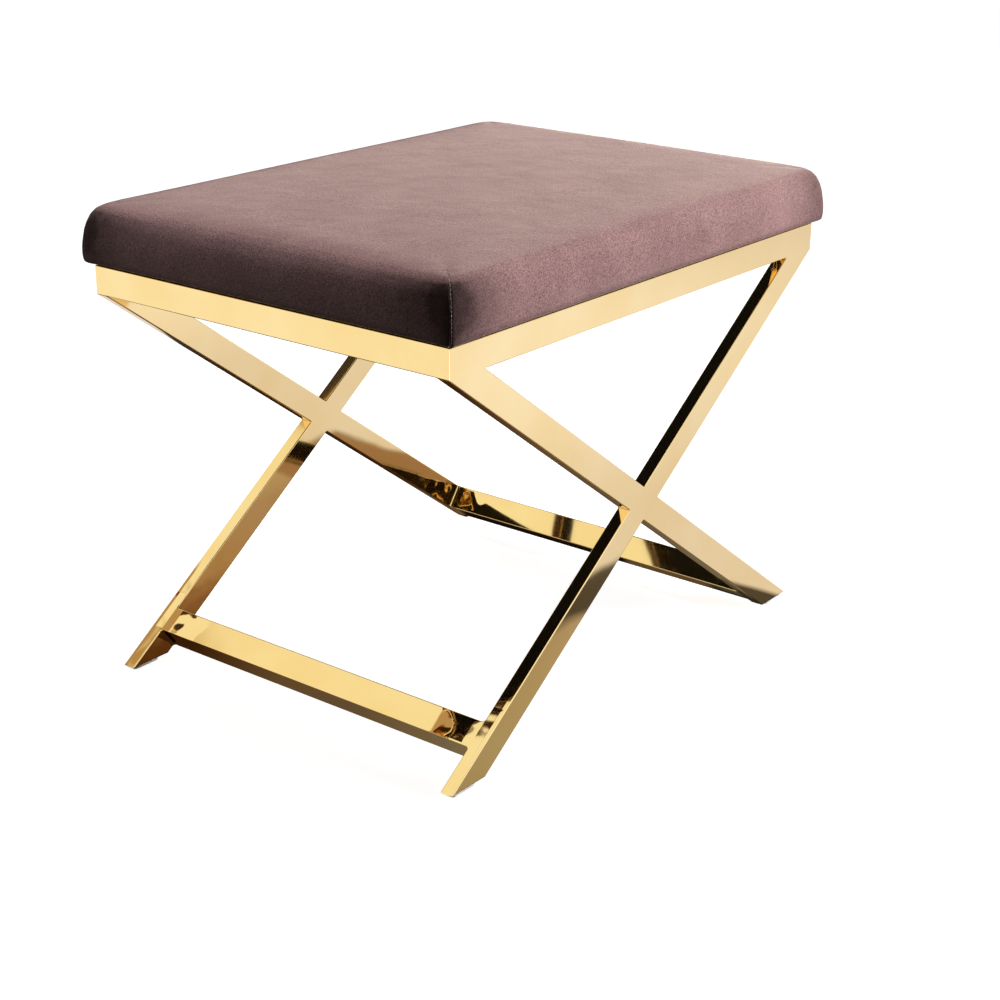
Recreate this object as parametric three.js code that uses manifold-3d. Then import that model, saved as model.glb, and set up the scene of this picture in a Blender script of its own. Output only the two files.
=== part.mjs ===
// An x frame stool: a welded frame of polished flat steel tube that carries an upholstered pad.
// Millimetres. +Z is up and the floor is at z = 0. The long side lies along X, the front is at -Y.

import * as THREE from 'three';
import { mergeVertices } from 'three/addons/utils/BufferGeometryUtils.js';
import Module from 'manifold-3d';

const wasm = await Module();
wasm.setup();

// Fits: the space left between two pieces that meet, and how far a cut runs past what it cuts
const FIT_GAP = 0.3;
const CUT_OVERRUN = 5;

// Frame: flat tube on edge, with each x under its own long rail
const FRAME_LENGTH = 540;
const FRAME_WIDTH = 388;
const RAIL_TOP = 380;
const FOOT_SPREAD = 533;
const TUBE_DEEP = 25.4;
const TUBE_THIN = 12.7;
const TUBE_WALL = 1.2;
const TUBE_CORNER_RADIUS = 1;

// Stretchers: tube as deep as the legs, so that both of its wide faces lie flush with them
const STRETCHER_FACE = 25.4;
const STRETCHER_RISE = 45.6;

// Feet: a closing plate in each leg's end, and a glide whose stem is pressed into the plate
const PLATE_THICK = 1.5;
const GLIDE_THICK = 2.5;
const GLIDE_LENGTH = 29;
const GLIDE_SIDE_INSET = 1.6;
const GLIDE_TIP_INSET = 4.5;
const GLIDE_CORNER_RADIUS = 3;
const GLIDE_STEM_RADIUS = 2.5;
const GLIDE_STEM_LENGTH = 7;

// Gussets: three-cornered plates welded inside the corners of the rails, with a hole for a screw
const GUSSET_LEG = 48;
const GUSSET_THICK = 3;
const GUSSET_CLIP = 8;
const GUSSET_DROP = 1.5;
const GUSSET_HOLE_INSET = 16;

// Seat fixings: pan head screw, washer and T-nut
const SCREW_RADIUS = 3;
const SCREW_LENGTH = 20;
const SCREW_HOLE_CLEARANCE = 0.5;
const SCREW_TIP_CHAMFER = 0.8;
const SCREW_HEAD_RADIUS = 6;
const SCREW_HEAD_HEIGHT = 3.6;
const SCREW_HEAD_ROUND = 1.4;
const RECESS_LENGTH = 6.4;
const RECESS_WIDTH = 1.3;
const RECESS_DEPTH = 2;
const WASHER_RADIUS = 8;
const WASHER_THICK = 1.6;
const TNUT_FLANGE_RADIUS = 9.5;
const TNUT_FLANGE_THICK = 1.5;
const TNUT_BARREL_LENGTH = 9;
const TNUT_WALL = 0.9;

// Pad: velvet over wadding, over foam, on a board that stands out a little past the rails
const BOARD_OVERHANG = 3.2;
const BOARD_THICK = 12;
const BOARD_EDGE_EASE = 1;
const FOAM_THICK = 35;
const WADDING_THICK = 2.5;
const FABRIC_THICK = 1.2;
const PAD_CORNER_RADIUS = 12.5;
const PAD_BULGE = 2.2;
const PAD_CROWN = 6.5;
const TOP_ROUND_HEIGHT = 32;
const TOP_ROUND_DEPTH = 20;
const ROLL_RADIUS = 5;
const HEM_PAST_RAIL = 7;
const HEM_CORNER_RADIUS = 1;
const DUST_THICK = 0.6;
const DUST_CLEAR = 2;
const DUST_HOLE_CLEARANCE = 2;

// Counts of the flats that stand for round shapes
const TUBE_CORNER_STEPS = 2;
const ROUND_STEPS = 20;
const GLIDE_CORNER_STEPS = 4;
const PAD_CORNER_STEPS = 4;
const PAD_LONG_STEPS = 5;
const PAD_SHORT_STEPS = 4;
const ROLL_STEPS = 3;
const SIDE_STEPS = 2;
const TOP_ROUND_STEPS = 6;

// The crown's rings, as shares of the pad's top outline, from its edge inwards
const CROWN_RING_SHARES = [0.82, 0.6, 0.36, 0.14];

// Heights that follow from the sizes above
const FOOT_PLANE = GLIDE_THICK + FIT_GAP;
const RAIL_BOTTOM = RAIL_TOP - TUBE_DEEP;
const GUSSET_TOP = RAIL_TOP - GUSSET_DROP;
const PAD_BOTTOM = RAIL_TOP + FIT_GAP;
const BOARD_BOTTOM = PAD_BOTTOM + FABRIC_THICK + FIT_GAP;
const BOARD_TOP = BOARD_BOTTOM + BOARD_THICK;
const FOAM_BOTTOM = BOARD_TOP + FIT_GAP;
const WADDING_INSET = FABRIC_THICK + FIT_GAP;
const FOAM_INSET = WADDING_INSET + WADDING_THICK + FIT_GAP;
const PAD_EDGE_TOP = FOAM_BOTTOM + FOAM_THICK + FOAM_INSET;
const PAD_EDGE_HEIGHT = PAD_EDGE_TOP - PAD_BOTTOM;
const PAD_OVERHANG = BOARD_OVERHANG + FOAM_INSET;

// The legs' slope. A leg's lower edge starts under the end of the rail, and its upper edge
// ends at the tip of the foot.
const LEG_RUN = (FRAME_LENGTH + FOOT_SPREAD) / 2;
const LEG_DROP = RAIL_BOTTOM - FOOT_PLANE;
const LEG_ANGLE = Math.atan2(LEG_DROP, LEG_RUN) + Math.asin(TUBE_DEEP / Math.hypot(LEG_RUN, LEG_DROP));
const LEG_COS = Math.cos(LEG_ANGLE);
const LEG_SIN = Math.sin(LEG_ANGLE);
const LEG_START_X = -FRAME_LENGTH / 2 + LEG_SIN * TUBE_DEEP / 2;
const LEG_START_Z = RAIL_BOTTOM + LEG_COS * TUBE_DEEP / 2;
const CROSS_HEIGHT = LEG_START_Z + LEG_START_X * LEG_SIN / LEG_COS;

const FRONT = -1;
const BACK = 1;
const LEFT = -1;
const RIGHT = 1;
const CORNERS = [
  { name: 'front_left', x: LEFT, y: FRONT },
  { name: 'front_right', x: RIGHT, y: FRONT },
  { name: 'back_right', x: RIGHT, y: BACK },
  { name: 'back_left', x: LEFT, y: BACK },
];

// Finishes
const goldSteel = new THREE.MeshStandardMaterial({ color: 0xfee6b4, metalness: 1, roughness: 0.08 });
const zincSteel = new THREE.MeshStandardMaterial({ color: 0xb9bcc0, metalness: 1, roughness: 0.35 });
const paleNylon = new THREE.MeshStandardMaterial({ color: 0xf4f2f8, metalness: 0, roughness: 0.4 });
const plywood = new THREE.MeshStandardMaterial({ color: 0xc9a877, metalness: 0, roughness: 0.8 });
const foam = new THREE.MeshStandardMaterial({ color: 0xe8dfc8, metalness: 0, roughness: 0.95 });
const wadding = new THREE.MeshStandardMaterial({ color: 0xf1f0ed, metalness: 0, roughness: 1 });
const velvet = new THREE.MeshStandardMaterial({ color: 0xaa8785, metalness: 0, roughness: 0.9 });
const nonwoven = new THREE.MeshStandardMaterial({ color: 0x1d1c1d, metalness: 0, roughness: 0.95 });

// Solids and geometries

function toSolid(geometry) {
  const bare = geometry.clone();
  bare.deleteAttribute('normal');
  bare.deleteAttribute('uv');
  const merged = mergeVertices(bare);
  const vertProperties = Float32Array.from(merged.attributes.position.array);
  const triVerts = Uint32Array.from(merged.index.array);
  return new wasm.Manifold(new wasm.Mesh({ numProp: 3, vertProperties, triVerts }));
}

function toGeometry(solid) {
  const mesh = solid.getMesh();
  const geometry = new THREE.BufferGeometry();
  geometry.setAttribute('position', new THREE.BufferAttribute(Float32Array.from(mesh.vertProperties), 3));
  geometry.setIndex(new THREE.BufferAttribute(Uint32Array.from(mesh.triVerts), 1));
  return geometry;
}

// A block between two corners
function block(low, high) {
  const size = new THREE.Vector3().subVectors(high, low);
  const middle = new THREE.Vector3().addVectors(low, high).multiplyScalar(0.5);
  return new THREE.BoxGeometry(size.x, size.y, size.z).translate(middle.x, middle.y, middle.z);
}

// A level slab between two heights that is wider than the whole frame
function slab(bottom, top) {
  const reach = FRAME_LENGTH + FRAME_WIDTH;
  return toSolid(block(new THREE.Vector3(-reach, -reach, bottom), new THREE.Vector3(reach, reach, top)));
}

// An upright prism on an outline of [x, y] points
function prism(points, bottom, top) {
  const outline = new THREE.Shape(points.map(([x, y]) => new THREE.Vector2(x, y)));
  return new THREE.ExtrudeGeometry(outline, { depth: top - bottom, bevelEnabled: false }).translate(0, 0, bottom);
}

// A round solid about the Z axis from its [radius, height] profile
function turned(profile) {
  const points = profile.map(([radius, height]) => new THREE.Vector2(radius, height));
  return new THREE.LatheGeometry(points, ROUND_STEPS).rotateX(Math.PI / 2);
}

// A round pin about an upright axis at x, y
function pin(radius, x, y, bottom, top) {
  return turned([[0, bottom], [radius, bottom], [radius, top], [0, top]]).translate(x, y, 0);
}

// A rounded rectangle with its centre at zero
function roundedRectangle(outline, width, height, radius) {
  const x = width / 2 - radius;
  const y = height / 2 - radius;
  outline.absarc(x, y, radius, 0, Math.PI / 2);
  outline.absarc(-x, y, radius, Math.PI / 2, Math.PI);
  outline.absarc(-x, -y, radius, Math.PI, Math.PI * 3 / 2);
  outline.absarc(x, -y, radius, Math.PI * 3 / 2, Math.PI * 2);
  outline.closePath();
  return outline;
}

// Tubes

const ALONG_X = new THREE.Matrix4().makeBasis(
  new THREE.Vector3(0, 1, 0), new THREE.Vector3(0, 0, 1), new THREE.Vector3(1, 0, 0));
const ALONG_Y = new THREE.Matrix4().makeBasis(
  new THREE.Vector3(0, 0, 1), new THREE.Vector3(1, 0, 0), new THREE.Vector3(0, 1, 0));

// A length of rectangular tube about its own centre. Width and height are those of the section
// before it is laid along an axis.
function tube(width, height, length, wall, laid) {
  const section = roundedRectangle(new THREE.Shape(), width, height, TUBE_CORNER_RADIUS);
  if (wall > 0) {
    const innerWidth = width / 2 - wall;
    const innerHeight = height / 2 - wall;
    section.holes.push(new THREE.Path([
      new THREE.Vector2(-innerWidth, -innerHeight), new THREE.Vector2(-innerWidth, innerHeight),
      new THREE.Vector2(innerWidth, innerHeight), new THREE.Vector2(innerWidth, -innerHeight),
      new THREE.Vector2(-innerWidth, -innerHeight),
    ]));
  }
  const options = { depth: length, bevelEnabled: false, curveSegments: TUBE_CORNER_STEPS };
  return new THREE.ExtrudeGeometry(section, options).translate(0, 0, -length / 2).applyMatrix4(laid);
}

// A place given by how far it lies inside the frame's outer faces at one corner
function inward(corner, fromEnd, fromSide) {
  return [corner.x * (FRAME_LENGTH / 2 - fromEnd), corner.y * (FRAME_WIDTH / 2 - fromSide)];
}

// The three-cornered prism that a rail loses at its mitre, on its own side of the corner's diagonal
function mitreCut(corner, alongX) {
  const shift = FIT_GAP / Math.SQRT2;
  const far = TUBE_THIN + CUT_OVERRUN;
  const near = -CUT_OVERRUN;
  const points = [[near, near], [far, far], [near, far]].map(([along, across]) => (
    alongX ? inward(corner, along + shift, across) : inward(corner, across, along + shift)
  ));
  return toSolid(prism(points, RAIL_BOTTOM - CUT_OVERRUN, RAIL_TOP + CUT_OVERRUN));
}

function longRail(side) {
  const y = side * (FRAME_WIDTH - TUBE_THIN) / 2;
  const blank = tube(TUBE_THIN, TUBE_DEEP, FRAME_LENGTH, TUBE_WALL, ALONG_X);
  let rail = toSolid(blank.translate(0, y, RAIL_TOP - TUBE_DEEP / 2));
  for (const corner of CORNERS.filter((one) => one.y === side)) {
    rail = rail.subtract(mitreCut(corner, true));
  }
  return toGeometry(rail);
}

function endRail(end) {
  const x = end * (FRAME_LENGTH - TUBE_THIN) / 2;
  const blank = tube(TUBE_DEEP, TUBE_THIN, FRAME_WIDTH, TUBE_WALL, ALONG_Y);
  let rail = toSolid(blank.translate(x, 0, RAIL_TOP - TUBE_DEEP / 2));
  for (const corner of CORNERS.filter((one) => one.x === end)) {
    rail = rail.subtract(mitreCut(corner, false));
  }
  return toGeometry(rail);
}

// A leg bar that slopes through the crossing and has its foot at the given end, before it is cut
function legBlank(side, footEnd, deep, thin, wall) {
  const length = LEG_DROP / LEG_SIN + 2 * TUBE_DEEP / Math.tan(LEG_ANGLE) + 2 * CUT_OVERRUN;
  const blank = tube(thin, deep, length, wall, ALONG_X).rotateY(footEnd * LEG_ANGLE);
  return toSolid(blank.translate(0, side * (FRAME_WIDTH - TUBE_THIN) / 2, CROSS_HEIGHT));
}

const LEG_CUT_BOTTOM = FOOT_PLANE + PLATE_THICK + FIT_GAP;
const LEG_CUT_TOP = RAIL_BOTTOM - FIT_GAP;

function longBar(side, footEnd) {
  const blank = legBlank(side, footEnd, TUBE_DEEP, TUBE_THIN, TUBE_WALL);
  return toGeometry(blank.intersect(slab(LEG_CUT_BOTTOM, LEG_CUT_TOP)));
}

// Half of the other diagonal, above or below the unbroken bar that it butts against
function halfBar(side, footEnd, upper) {
  const blank = legBlank(side, footEnd, TUBE_DEEP, TUBE_THIN, TUBE_WALL);
  const crossed = legBlank(side, -footEnd, TUBE_DEEP + 2 * FIT_GAP, TUBE_THIN + CUT_OVERRUN, 0);
  const half = upper ? slab(CROSS_HEIGHT, LEG_CUT_TOP) : slab(LEG_CUT_BOTTOM, CROSS_HEIGHT);
  return toGeometry(blank.intersect(half).subtract(crossed));
}

function stretcher(end) {
  const length = FRAME_WIDTH - 2 * (TUBE_THIN + FIT_GAP);
  const along = STRETCHER_RISE + STRETCHER_FACE / 2;
  const fromTip = along * LEG_COS + LEG_SIN * TUBE_DEEP / 2;
  const rise = along * LEG_SIN - LEG_COS * TUBE_DEEP / 2;
  const blank = tube(TUBE_DEEP, STRETCHER_FACE, length, TUBE_WALL, ALONG_Y).rotateY(end * LEG_ANGLE);
  return blank.translate(end * (FOOT_SPREAD / 2 - fromTip), 0, FOOT_PLANE + rise);
}

// Feet

function glideCentre(corner) {
  const x = corner.x * (FOOT_SPREAD / 2 - GLIDE_TIP_INSET - GLIDE_LENGTH / 2);
  return [x, corner.y * (FRAME_WIDTH - TUBE_THIN) / 2];
}

function footPlate(corner) {
  const [x, y] = glideCentre(corner);
  const leg = legBlank(corner.y, corner.x, TUBE_DEEP, TUBE_THIN, 0);
  const hole = pin(GLIDE_STEM_RADIUS + FIT_GAP, x, y, -CUT_OVERRUN, LEG_CUT_BOTTOM + CUT_OVERRUN);
  return toGeometry(leg.intersect(slab(FOOT_PLANE, FOOT_PLANE + PLATE_THICK)).subtract(toSolid(hole)));
}

function glide() {
  const width = TUBE_THIN - 2 * GLIDE_SIDE_INSET;
  const outline = roundedRectangle(new THREE.Shape(), GLIDE_LENGTH, width, GLIDE_CORNER_RADIUS);
  const options = { depth: GLIDE_THICK, bevelEnabled: false, curveSegments: GLIDE_CORNER_STEPS };
  const pad = toSolid(new THREE.ExtrudeGeometry(outline, options));
  const stem = toSolid(pin(GLIDE_STEM_RADIUS, 0, 0, GLIDE_THICK / 2, GLIDE_THICK + GLIDE_STEM_LENGTH));
  return toGeometry(pad.add(stem));
}

// Seat fixings, each about its own upright axis

const SCREW_FROM_FACE = TUBE_THIN + GUSSET_HOLE_INSET;
const WASHER_TOP = GUSSET_TOP - GUSSET_THICK - FIT_GAP;
const SCREW_SEAT = WASHER_TOP - WASHER_THICK - FIT_GAP;
const SCREW_HOLE_RADIUS = SCREW_RADIUS + SCREW_HOLE_CLEARANCE;
const TNUT_BORE = SCREW_RADIUS + FIT_GAP;
const TNUT_BARREL_RADIUS = TNUT_BORE + TNUT_WALL;

function gusset(corner) {
  const near = TUBE_THIN + FIT_GAP;
  const far = near + GUSSET_LEG;
  const points = [[near, near], [far, near], [far, near + GUSSET_CLIP], [near + GUSSET_CLIP, far], [near, far]];
  const outline = points.map(([fromEnd, fromSide]) => inward(corner, fromEnd, fromSide));
  const [x, y] = inward(corner, SCREW_FROM_FACE, SCREW_FROM_FACE);
  const bottom = GUSSET_TOP - GUSSET_THICK;
  const hole = pin(SCREW_HOLE_RADIUS, x, y, bottom - CUT_OVERRUN, GUSSET_TOP + CUT_OVERRUN);
  return toGeometry(toSolid(prism(outline, bottom, GUSSET_TOP)).subtract(toSolid(hole)));
}

// The underside of the head is at zero, and the shank rises from it
function screw() {
  const rim = SCREW_HEAD_RADIUS - SCREW_HEAD_ROUND;
  const body = toSolid(turned([
    [0, -SCREW_HEAD_HEIGHT], [rim, -SCREW_HEAD_HEIGHT], [SCREW_HEAD_RADIUS, SCREW_HEAD_ROUND - SCREW_HEAD_HEIGHT],
    [SCREW_HEAD_RADIUS, 0], [SCREW_RADIUS, 0], [SCREW_RADIUS, SCREW_LENGTH - SCREW_TIP_CHAMFER],
    [SCREW_RADIUS - SCREW_TIP_CHAMFER, SCREW_LENGTH], [0, SCREW_LENGTH],
  ]));
  const halves = [[RECESS_LENGTH / 2, RECESS_WIDTH / 2], [RECESS_WIDTH / 2, RECESS_LENGTH / 2]];
  const slots = halves.map(([x, y]) => toSolid(block(
    new THREE.Vector3(-x, -y, -SCREW_HEAD_HEIGHT - CUT_OVERRUN), new THREE.Vector3(x, y, RECESS_DEPTH - SCREW_HEAD_HEIGHT))));
  return toGeometry(body.subtract(slots[0]).subtract(slots[1]));
}

function washer() {
  return turned([
    [SCREW_HOLE_RADIUS, -WASHER_THICK], [WASHER_RADIUS, -WASHER_THICK], [WASHER_RADIUS, 0],
    [SCREW_HOLE_RADIUS, 0], [SCREW_HOLE_RADIUS, -WASHER_THICK],
  ]);
}

// The top of the flange is at zero
function tNut() {
  const end = -TNUT_FLANGE_THICK - TNUT_BARREL_LENGTH;
  return turned([
    [TNUT_BORE, end], [TNUT_BARREL_RADIUS, end], [TNUT_BARREL_RADIUS, -TNUT_FLANGE_THICK],
    [TNUT_FLANGE_RADIUS, -TNUT_FLANGE_THICK], [TNUT_FLANGE_RADIUS, 0], [TNUT_BORE, 0], [TNUT_BORE, end],
  ]);
}

// Pad

// One level outline of the pad, anticlockwise from above. The offset is how far it stands out past
// the frame's outer faces, and the share draws it in towards the middle.
function padRing(offset, radius, z, share = 1) {
  const x = FRAME_LENGTH / 2 + offset - radius;
  const y = FRAME_WIDTH / 2 + offset - radius;
  const arcs = [[x, y], [-x, y], [-x, -y], [x, -y]].map(([cx, cy], quarter) => {
    const arc = [];
    for (let step = 0; step <= PAD_CORNER_STEPS; step += 1) {
      const angle = (quarter + step / PAD_CORNER_STEPS) * Math.PI / 2;
      arc.push([cx + radius * Math.cos(angle), cy + radius * Math.sin(angle)]);
    }
    return arc;
  });
  const ring = [];
  arcs.forEach((arc, quarter) => {
    const [fromX, fromY] = arc[arc.length - 1];
    const [toX, toY] = arcs[(quarter + 1) % arcs.length][0];
    const steps = quarter % 2 === 0 ? PAD_LONG_STEPS : PAD_SHORT_STEPS;
    ring.push(...arc);
    for (let step = 1; step < steps; step += 1) {
      const t = step / steps;
      ring.push([fromX + (toX - fromX) * t, fromY + (toY - fromY) * t]);
    }
  });
  return ring.map(([px, py]) => new THREE.Vector3(px * share, py * share, z));
}

// How far the pad's side stands out past the frame at a height above the pad's underside
function sideOffset(height) {
  return PAD_OVERHANG + PAD_BULGE * Math.sin(Math.PI * height / PAD_EDGE_HEIGHT);
}

// The layers of the pad share one form: each lies inside the velvet's outer face by its inset.

// The turn from the underside into the side
function rollRings(inset) {
  const centre = sideOffset(ROLL_RADIUS) - ROLL_RADIUS;
  const rings = [];
  for (let step = 0; step < ROLL_STEPS; step += 1) {
    const angle = (step / ROLL_STEPS) * Math.PI / 2;
    const out = (ROLL_RADIUS - inset) * Math.sin(angle);
    const z = PAD_BOTTOM + ROLL_RADIUS - (ROLL_RADIUS - inset) * Math.cos(angle);
    rings.push(padRing(centre + out, PAD_CORNER_RADIUS - ROLL_RADIUS + out, z));
  }
  return rings;
}

// The bulging side, from a height above the pad's underside to where the top starts to round
function sideRings(inset, from) {
  const to = PAD_EDGE_HEIGHT - TOP_ROUND_HEIGHT;
  const rings = [];
  for (let step = 0; step < SIDE_STEPS; step += 1) {
    const height = from + (to - from) * step / SIDE_STEPS;
    rings.push(padRing(sideOffset(height) - inset, PAD_CORNER_RADIUS - inset, PAD_BOTTOM + height));
  }
  return rings;
}

// The rounded top edge, the crowned top and its middle point
function topRings(inset) {
  const startHeight = PAD_EDGE_HEIGHT - TOP_ROUND_HEIGHT;
  const centre = sideOffset(startHeight) - TOP_ROUND_DEPTH;
  const rings = [];
  for (let step = 0; step <= TOP_ROUND_STEPS; step += 1) {
    const angle = (step / TOP_ROUND_STEPS) * Math.PI / 2;
    const offset = centre + (TOP_ROUND_DEPTH - inset) * Math.cos(angle);
    const z = PAD_BOTTOM + startHeight + (TOP_ROUND_HEIGHT - inset) * Math.sin(angle);
    rings.push(padRing(offset, PAD_CORNER_RADIUS - inset, z));
  }
  for (const share of CROWN_RING_SHARES) {
    const z = PAD_EDGE_TOP - inset + PAD_CROWN * (1 - share * share);
    rings.push(padRing(centre, PAD_CORNER_RADIUS - inset, z, share));
  }
  rings.push([new THREE.Vector3(0, 0, PAD_EDGE_TOP - inset + PAD_CROWN)]);
  return rings;
}

// A closed skin through rings of equal counts, where a ring may also be a single point. A looped
// skin joins its last ring to its first.
function skin(rings, looped) {
  const positions = [];
  const starts = rings.map((ring) => {
    const start = positions.length / 3;
    ring.forEach((point) => positions.push(point.x, point.y, point.z));
    return start;
  });
  const index = [];
  const pairs = looped ? rings.length : rings.length - 1;
  for (let i = 0; i < pairs; i += 1) {
    const next = (i + 1) % rings.length;
    const low = rings[i].length;
    const high = rings[next].length;
    const count = Math.max(low, high);
    for (let j = 0; j < count; j += 1) {
      const k = (j + 1) % count;
      const a = starts[i] + (low > 1 ? j : 0);
      const b = starts[i] + (low > 1 ? k : 0);
      const c = starts[next] + (high > 1 ? k : 0);
      const d = starts[next] + (high > 1 ? j : 0);
      if (low > 1) {
        index.push(a, b, c);
      }
      if (high > 1) {
        index.push(a, c, d);
      }
    }
  }
  const geometry = new THREE.BufferGeometry();
  geometry.setAttribute('position', new THREE.Float32BufferAttribute(positions, 3));
  geometry.setIndex(index);
  return geometry;
}

// The middle point of a ring at its own height
function middle(ring) {
  return [new THREE.Vector3(0, 0, ring[0].z)];
}

// A cover that is open below: its outer face from the rim upwards, then its inner face down again.
// The crown's two middle points aren't joined, so the only join is at the rim.
function openShell(outer, inner) {
  return skin([...outer, ...inner.reverse()], true);
}

function seatCover() {
  const hemOffset = -TUBE_THIN - HEM_PAST_RAIL;
  const hemBottom = padRing(hemOffset, HEM_CORNER_RADIUS, PAD_BOTTOM);
  const hemTop = padRing(hemOffset, HEM_CORNER_RADIUS, PAD_BOTTOM + FABRIC_THICK);
  const outer = [hemBottom, ...rollRings(0), ...sideRings(0, ROLL_RADIUS), ...topRings(0)];
  const inner = [
    hemTop, ...rollRings(FABRIC_THICK), ...sideRings(FABRIC_THICK, ROLL_RADIUS), ...topRings(FABRIC_THICK),
  ];
  return openShell(outer, inner);
}

function seatWadding() {
  const inset = WADDING_INSET + WADDING_THICK;
  const outer = [...sideRings(WADDING_INSET, ROLL_RADIUS), ...topRings(WADDING_INSET)];
  const inner = [...sideRings(inset, ROLL_RADIUS), ...topRings(inset)];
  return openShell(outer, inner);
}

function seatFoam() {
  const sides = sideRings(FOAM_INSET, FOAM_BOTTOM - PAD_BOTTOM);
  return skin([middle(sides[0]), ...sides, ...topRings(FOAM_INSET)], false);
}

function seatBoard() {
  const radius = PAD_CORNER_RADIUS - FOAM_INSET;
  const eased = BOARD_OVERHANG - BOARD_EDGE_EASE;
  const rings = [
    padRing(eased, radius - BOARD_EDGE_EASE, BOARD_BOTTOM),
    padRing(BOARD_OVERHANG, radius, BOARD_BOTTOM + BOARD_EDGE_EASE),
    padRing(BOARD_OVERHANG, radius, BOARD_TOP),
  ];
  let board = toSolid(skin([middle(rings[0]), ...rings, middle(rings[2])], false));
  for (const corner of CORNERS) {
    const [x, y] = inward(corner, SCREW_FROM_FACE, SCREW_FROM_FACE);
    const sink = BOARD_TOP - TNUT_FLANGE_THICK - FIT_GAP;
    const hole = pin(TNUT_BARREL_RADIUS + FIT_GAP, x, y, BOARD_BOTTOM - CUT_OVERRUN, BOARD_TOP + CUT_OVERRUN);
    const recess = pin(TNUT_FLANGE_RADIUS + FIT_GAP, x, y, sink, BOARD_TOP + CUT_OVERRUN);
    board = board.subtract(toSolid(hole)).subtract(toSolid(recess));
  }
  return toGeometry(board);
}

function dustCover() {
  const offset = -TUBE_THIN - DUST_CLEAR;
  const top = PAD_BOTTOM - FIT_GAP;
  const rings = [top - DUST_THICK, top].map((z) => padRing(offset, HEM_CORNER_RADIUS, z));
  let sheet = toSolid(skin([middle(rings[0]), ...rings, middle(rings[1])], false));
  for (const corner of CORNERS) {
    const [x, y] = inward(corner, SCREW_FROM_FACE, SCREW_FROM_FACE);
    const radius = SCREW_RADIUS + DUST_HOLE_CLEARANCE;
    sheet = sheet.subtract(toSolid(pin(radius, x, y, top - DUST_THICK - CUT_OVERRUN, top + CUT_OVERRUN)));
  }
  return toGeometry(sheet);
}

// Assembly

function add(parent, name, geometry, material, x = 0, y = 0, z = 0) {
  const mesh = new THREE.Mesh(geometry, material);
  mesh.name = name;
  mesh.position.set(x, y, z);
  parent.add(mesh);
}

const frame = new THREE.Group();
add(frame, 'rail_front', longRail(FRONT), goldSteel);
add(frame, 'rail_back', longRail(BACK), goldSteel);
add(frame, 'rail_left', endRail(LEFT), goldSteel);
add(frame, 'rail_right', endRail(RIGHT), goldSteel);
for (const [name, side, footEnd] of [['front', FRONT, RIGHT], ['back', BACK, LEFT]]) {
  add(frame, `${name}_long_bar`, longBar(side, footEnd), goldSteel);
  add(frame, `${name}_upper_bar`, halfBar(side, -footEnd, true), goldSteel);
  add(frame, `${name}_lower_bar`, halfBar(side, -footEnd, false), goldSteel);
}
add(frame, 'stretcher_left', stretcher(LEFT), goldSteel);
add(frame, 'stretcher_right', stretcher(RIGHT), goldSteel);

const fixings = new THREE.Group();
for (const corner of CORNERS) {
  const [screwX, screwY] = inward(corner, SCREW_FROM_FACE, SCREW_FROM_FACE);
  const [glideX, glideY] = glideCentre(corner);
  add(frame, `foot_plate_${corner.name}`, footPlate(corner), goldSteel);
  add(frame, `glide_${corner.name}`, glide(), paleNylon, glideX, glideY);
  add(frame, `seat_gusset_${corner.name}`, gusset(corner), goldSteel);
  add(fixings, `seat_screw_${corner.name}`, screw(), zincSteel, screwX, screwY, SCREW_SEAT);
  add(fixings, `seat_washer_${corner.name}`, washer(), zincSteel, screwX, screwY, WASHER_TOP);
  add(fixings, `seat_tnut_${corner.name}`, tNut(), zincSteel, screwX, screwY, BOARD_TOP);
}

const seat = new THREE.Group();
add(seat, 'seat_board', seatBoard(), plywood);
add(seat, 'seat_foam', seatFoam(), foam);
add(seat, 'seat_wadding', seatWadding(), wadding);
add(seat, 'seat_cover', seatCover(), velvet);
add(seat, 'dust_cover', dustCover(), nonwoven);

const stool = new THREE.Group();
stool.add(frame, fixings, seat);

export default stool;
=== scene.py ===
"""The looks of an x frame stool: a velvet pad on a welded frame of gold coloured steel tube.

Metres, +Z up, with the floor at z = 0, the long side along X and the front at -Y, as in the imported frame.
"""

import logging
import math
from abc import ABC, abstractmethod
from collections.abc import Callable, Iterable, Iterator, Sequence
from contextlib import contextmanager
from dataclasses import dataclass
from enum import Enum
from typing import Any, ClassVar

import bmesh
import bpy
import numpy as np
from mathutils import Matrix, Vector, noise


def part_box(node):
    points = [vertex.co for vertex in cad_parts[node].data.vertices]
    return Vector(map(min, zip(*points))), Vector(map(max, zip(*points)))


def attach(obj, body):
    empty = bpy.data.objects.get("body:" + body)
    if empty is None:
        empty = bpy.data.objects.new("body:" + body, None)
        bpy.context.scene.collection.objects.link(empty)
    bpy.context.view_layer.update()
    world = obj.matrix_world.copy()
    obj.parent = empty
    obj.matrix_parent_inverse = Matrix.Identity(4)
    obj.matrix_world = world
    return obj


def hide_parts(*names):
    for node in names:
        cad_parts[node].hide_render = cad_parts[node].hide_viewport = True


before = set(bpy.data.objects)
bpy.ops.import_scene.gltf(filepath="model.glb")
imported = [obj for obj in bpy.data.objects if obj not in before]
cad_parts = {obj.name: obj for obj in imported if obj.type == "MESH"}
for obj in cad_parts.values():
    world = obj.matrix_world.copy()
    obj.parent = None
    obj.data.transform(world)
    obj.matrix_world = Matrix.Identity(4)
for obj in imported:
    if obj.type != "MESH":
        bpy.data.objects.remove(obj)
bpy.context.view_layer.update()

MM = 0.001
BODY = "root"
# Points that lie closer than this are one point.
SAME_PLACE = 0.01 * MM

Outline = list[tuple[float, float]]
Span = tuple[float, float]
Place = tuple[float, float, float]
Colour = tuple[float, float, float, float]
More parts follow.
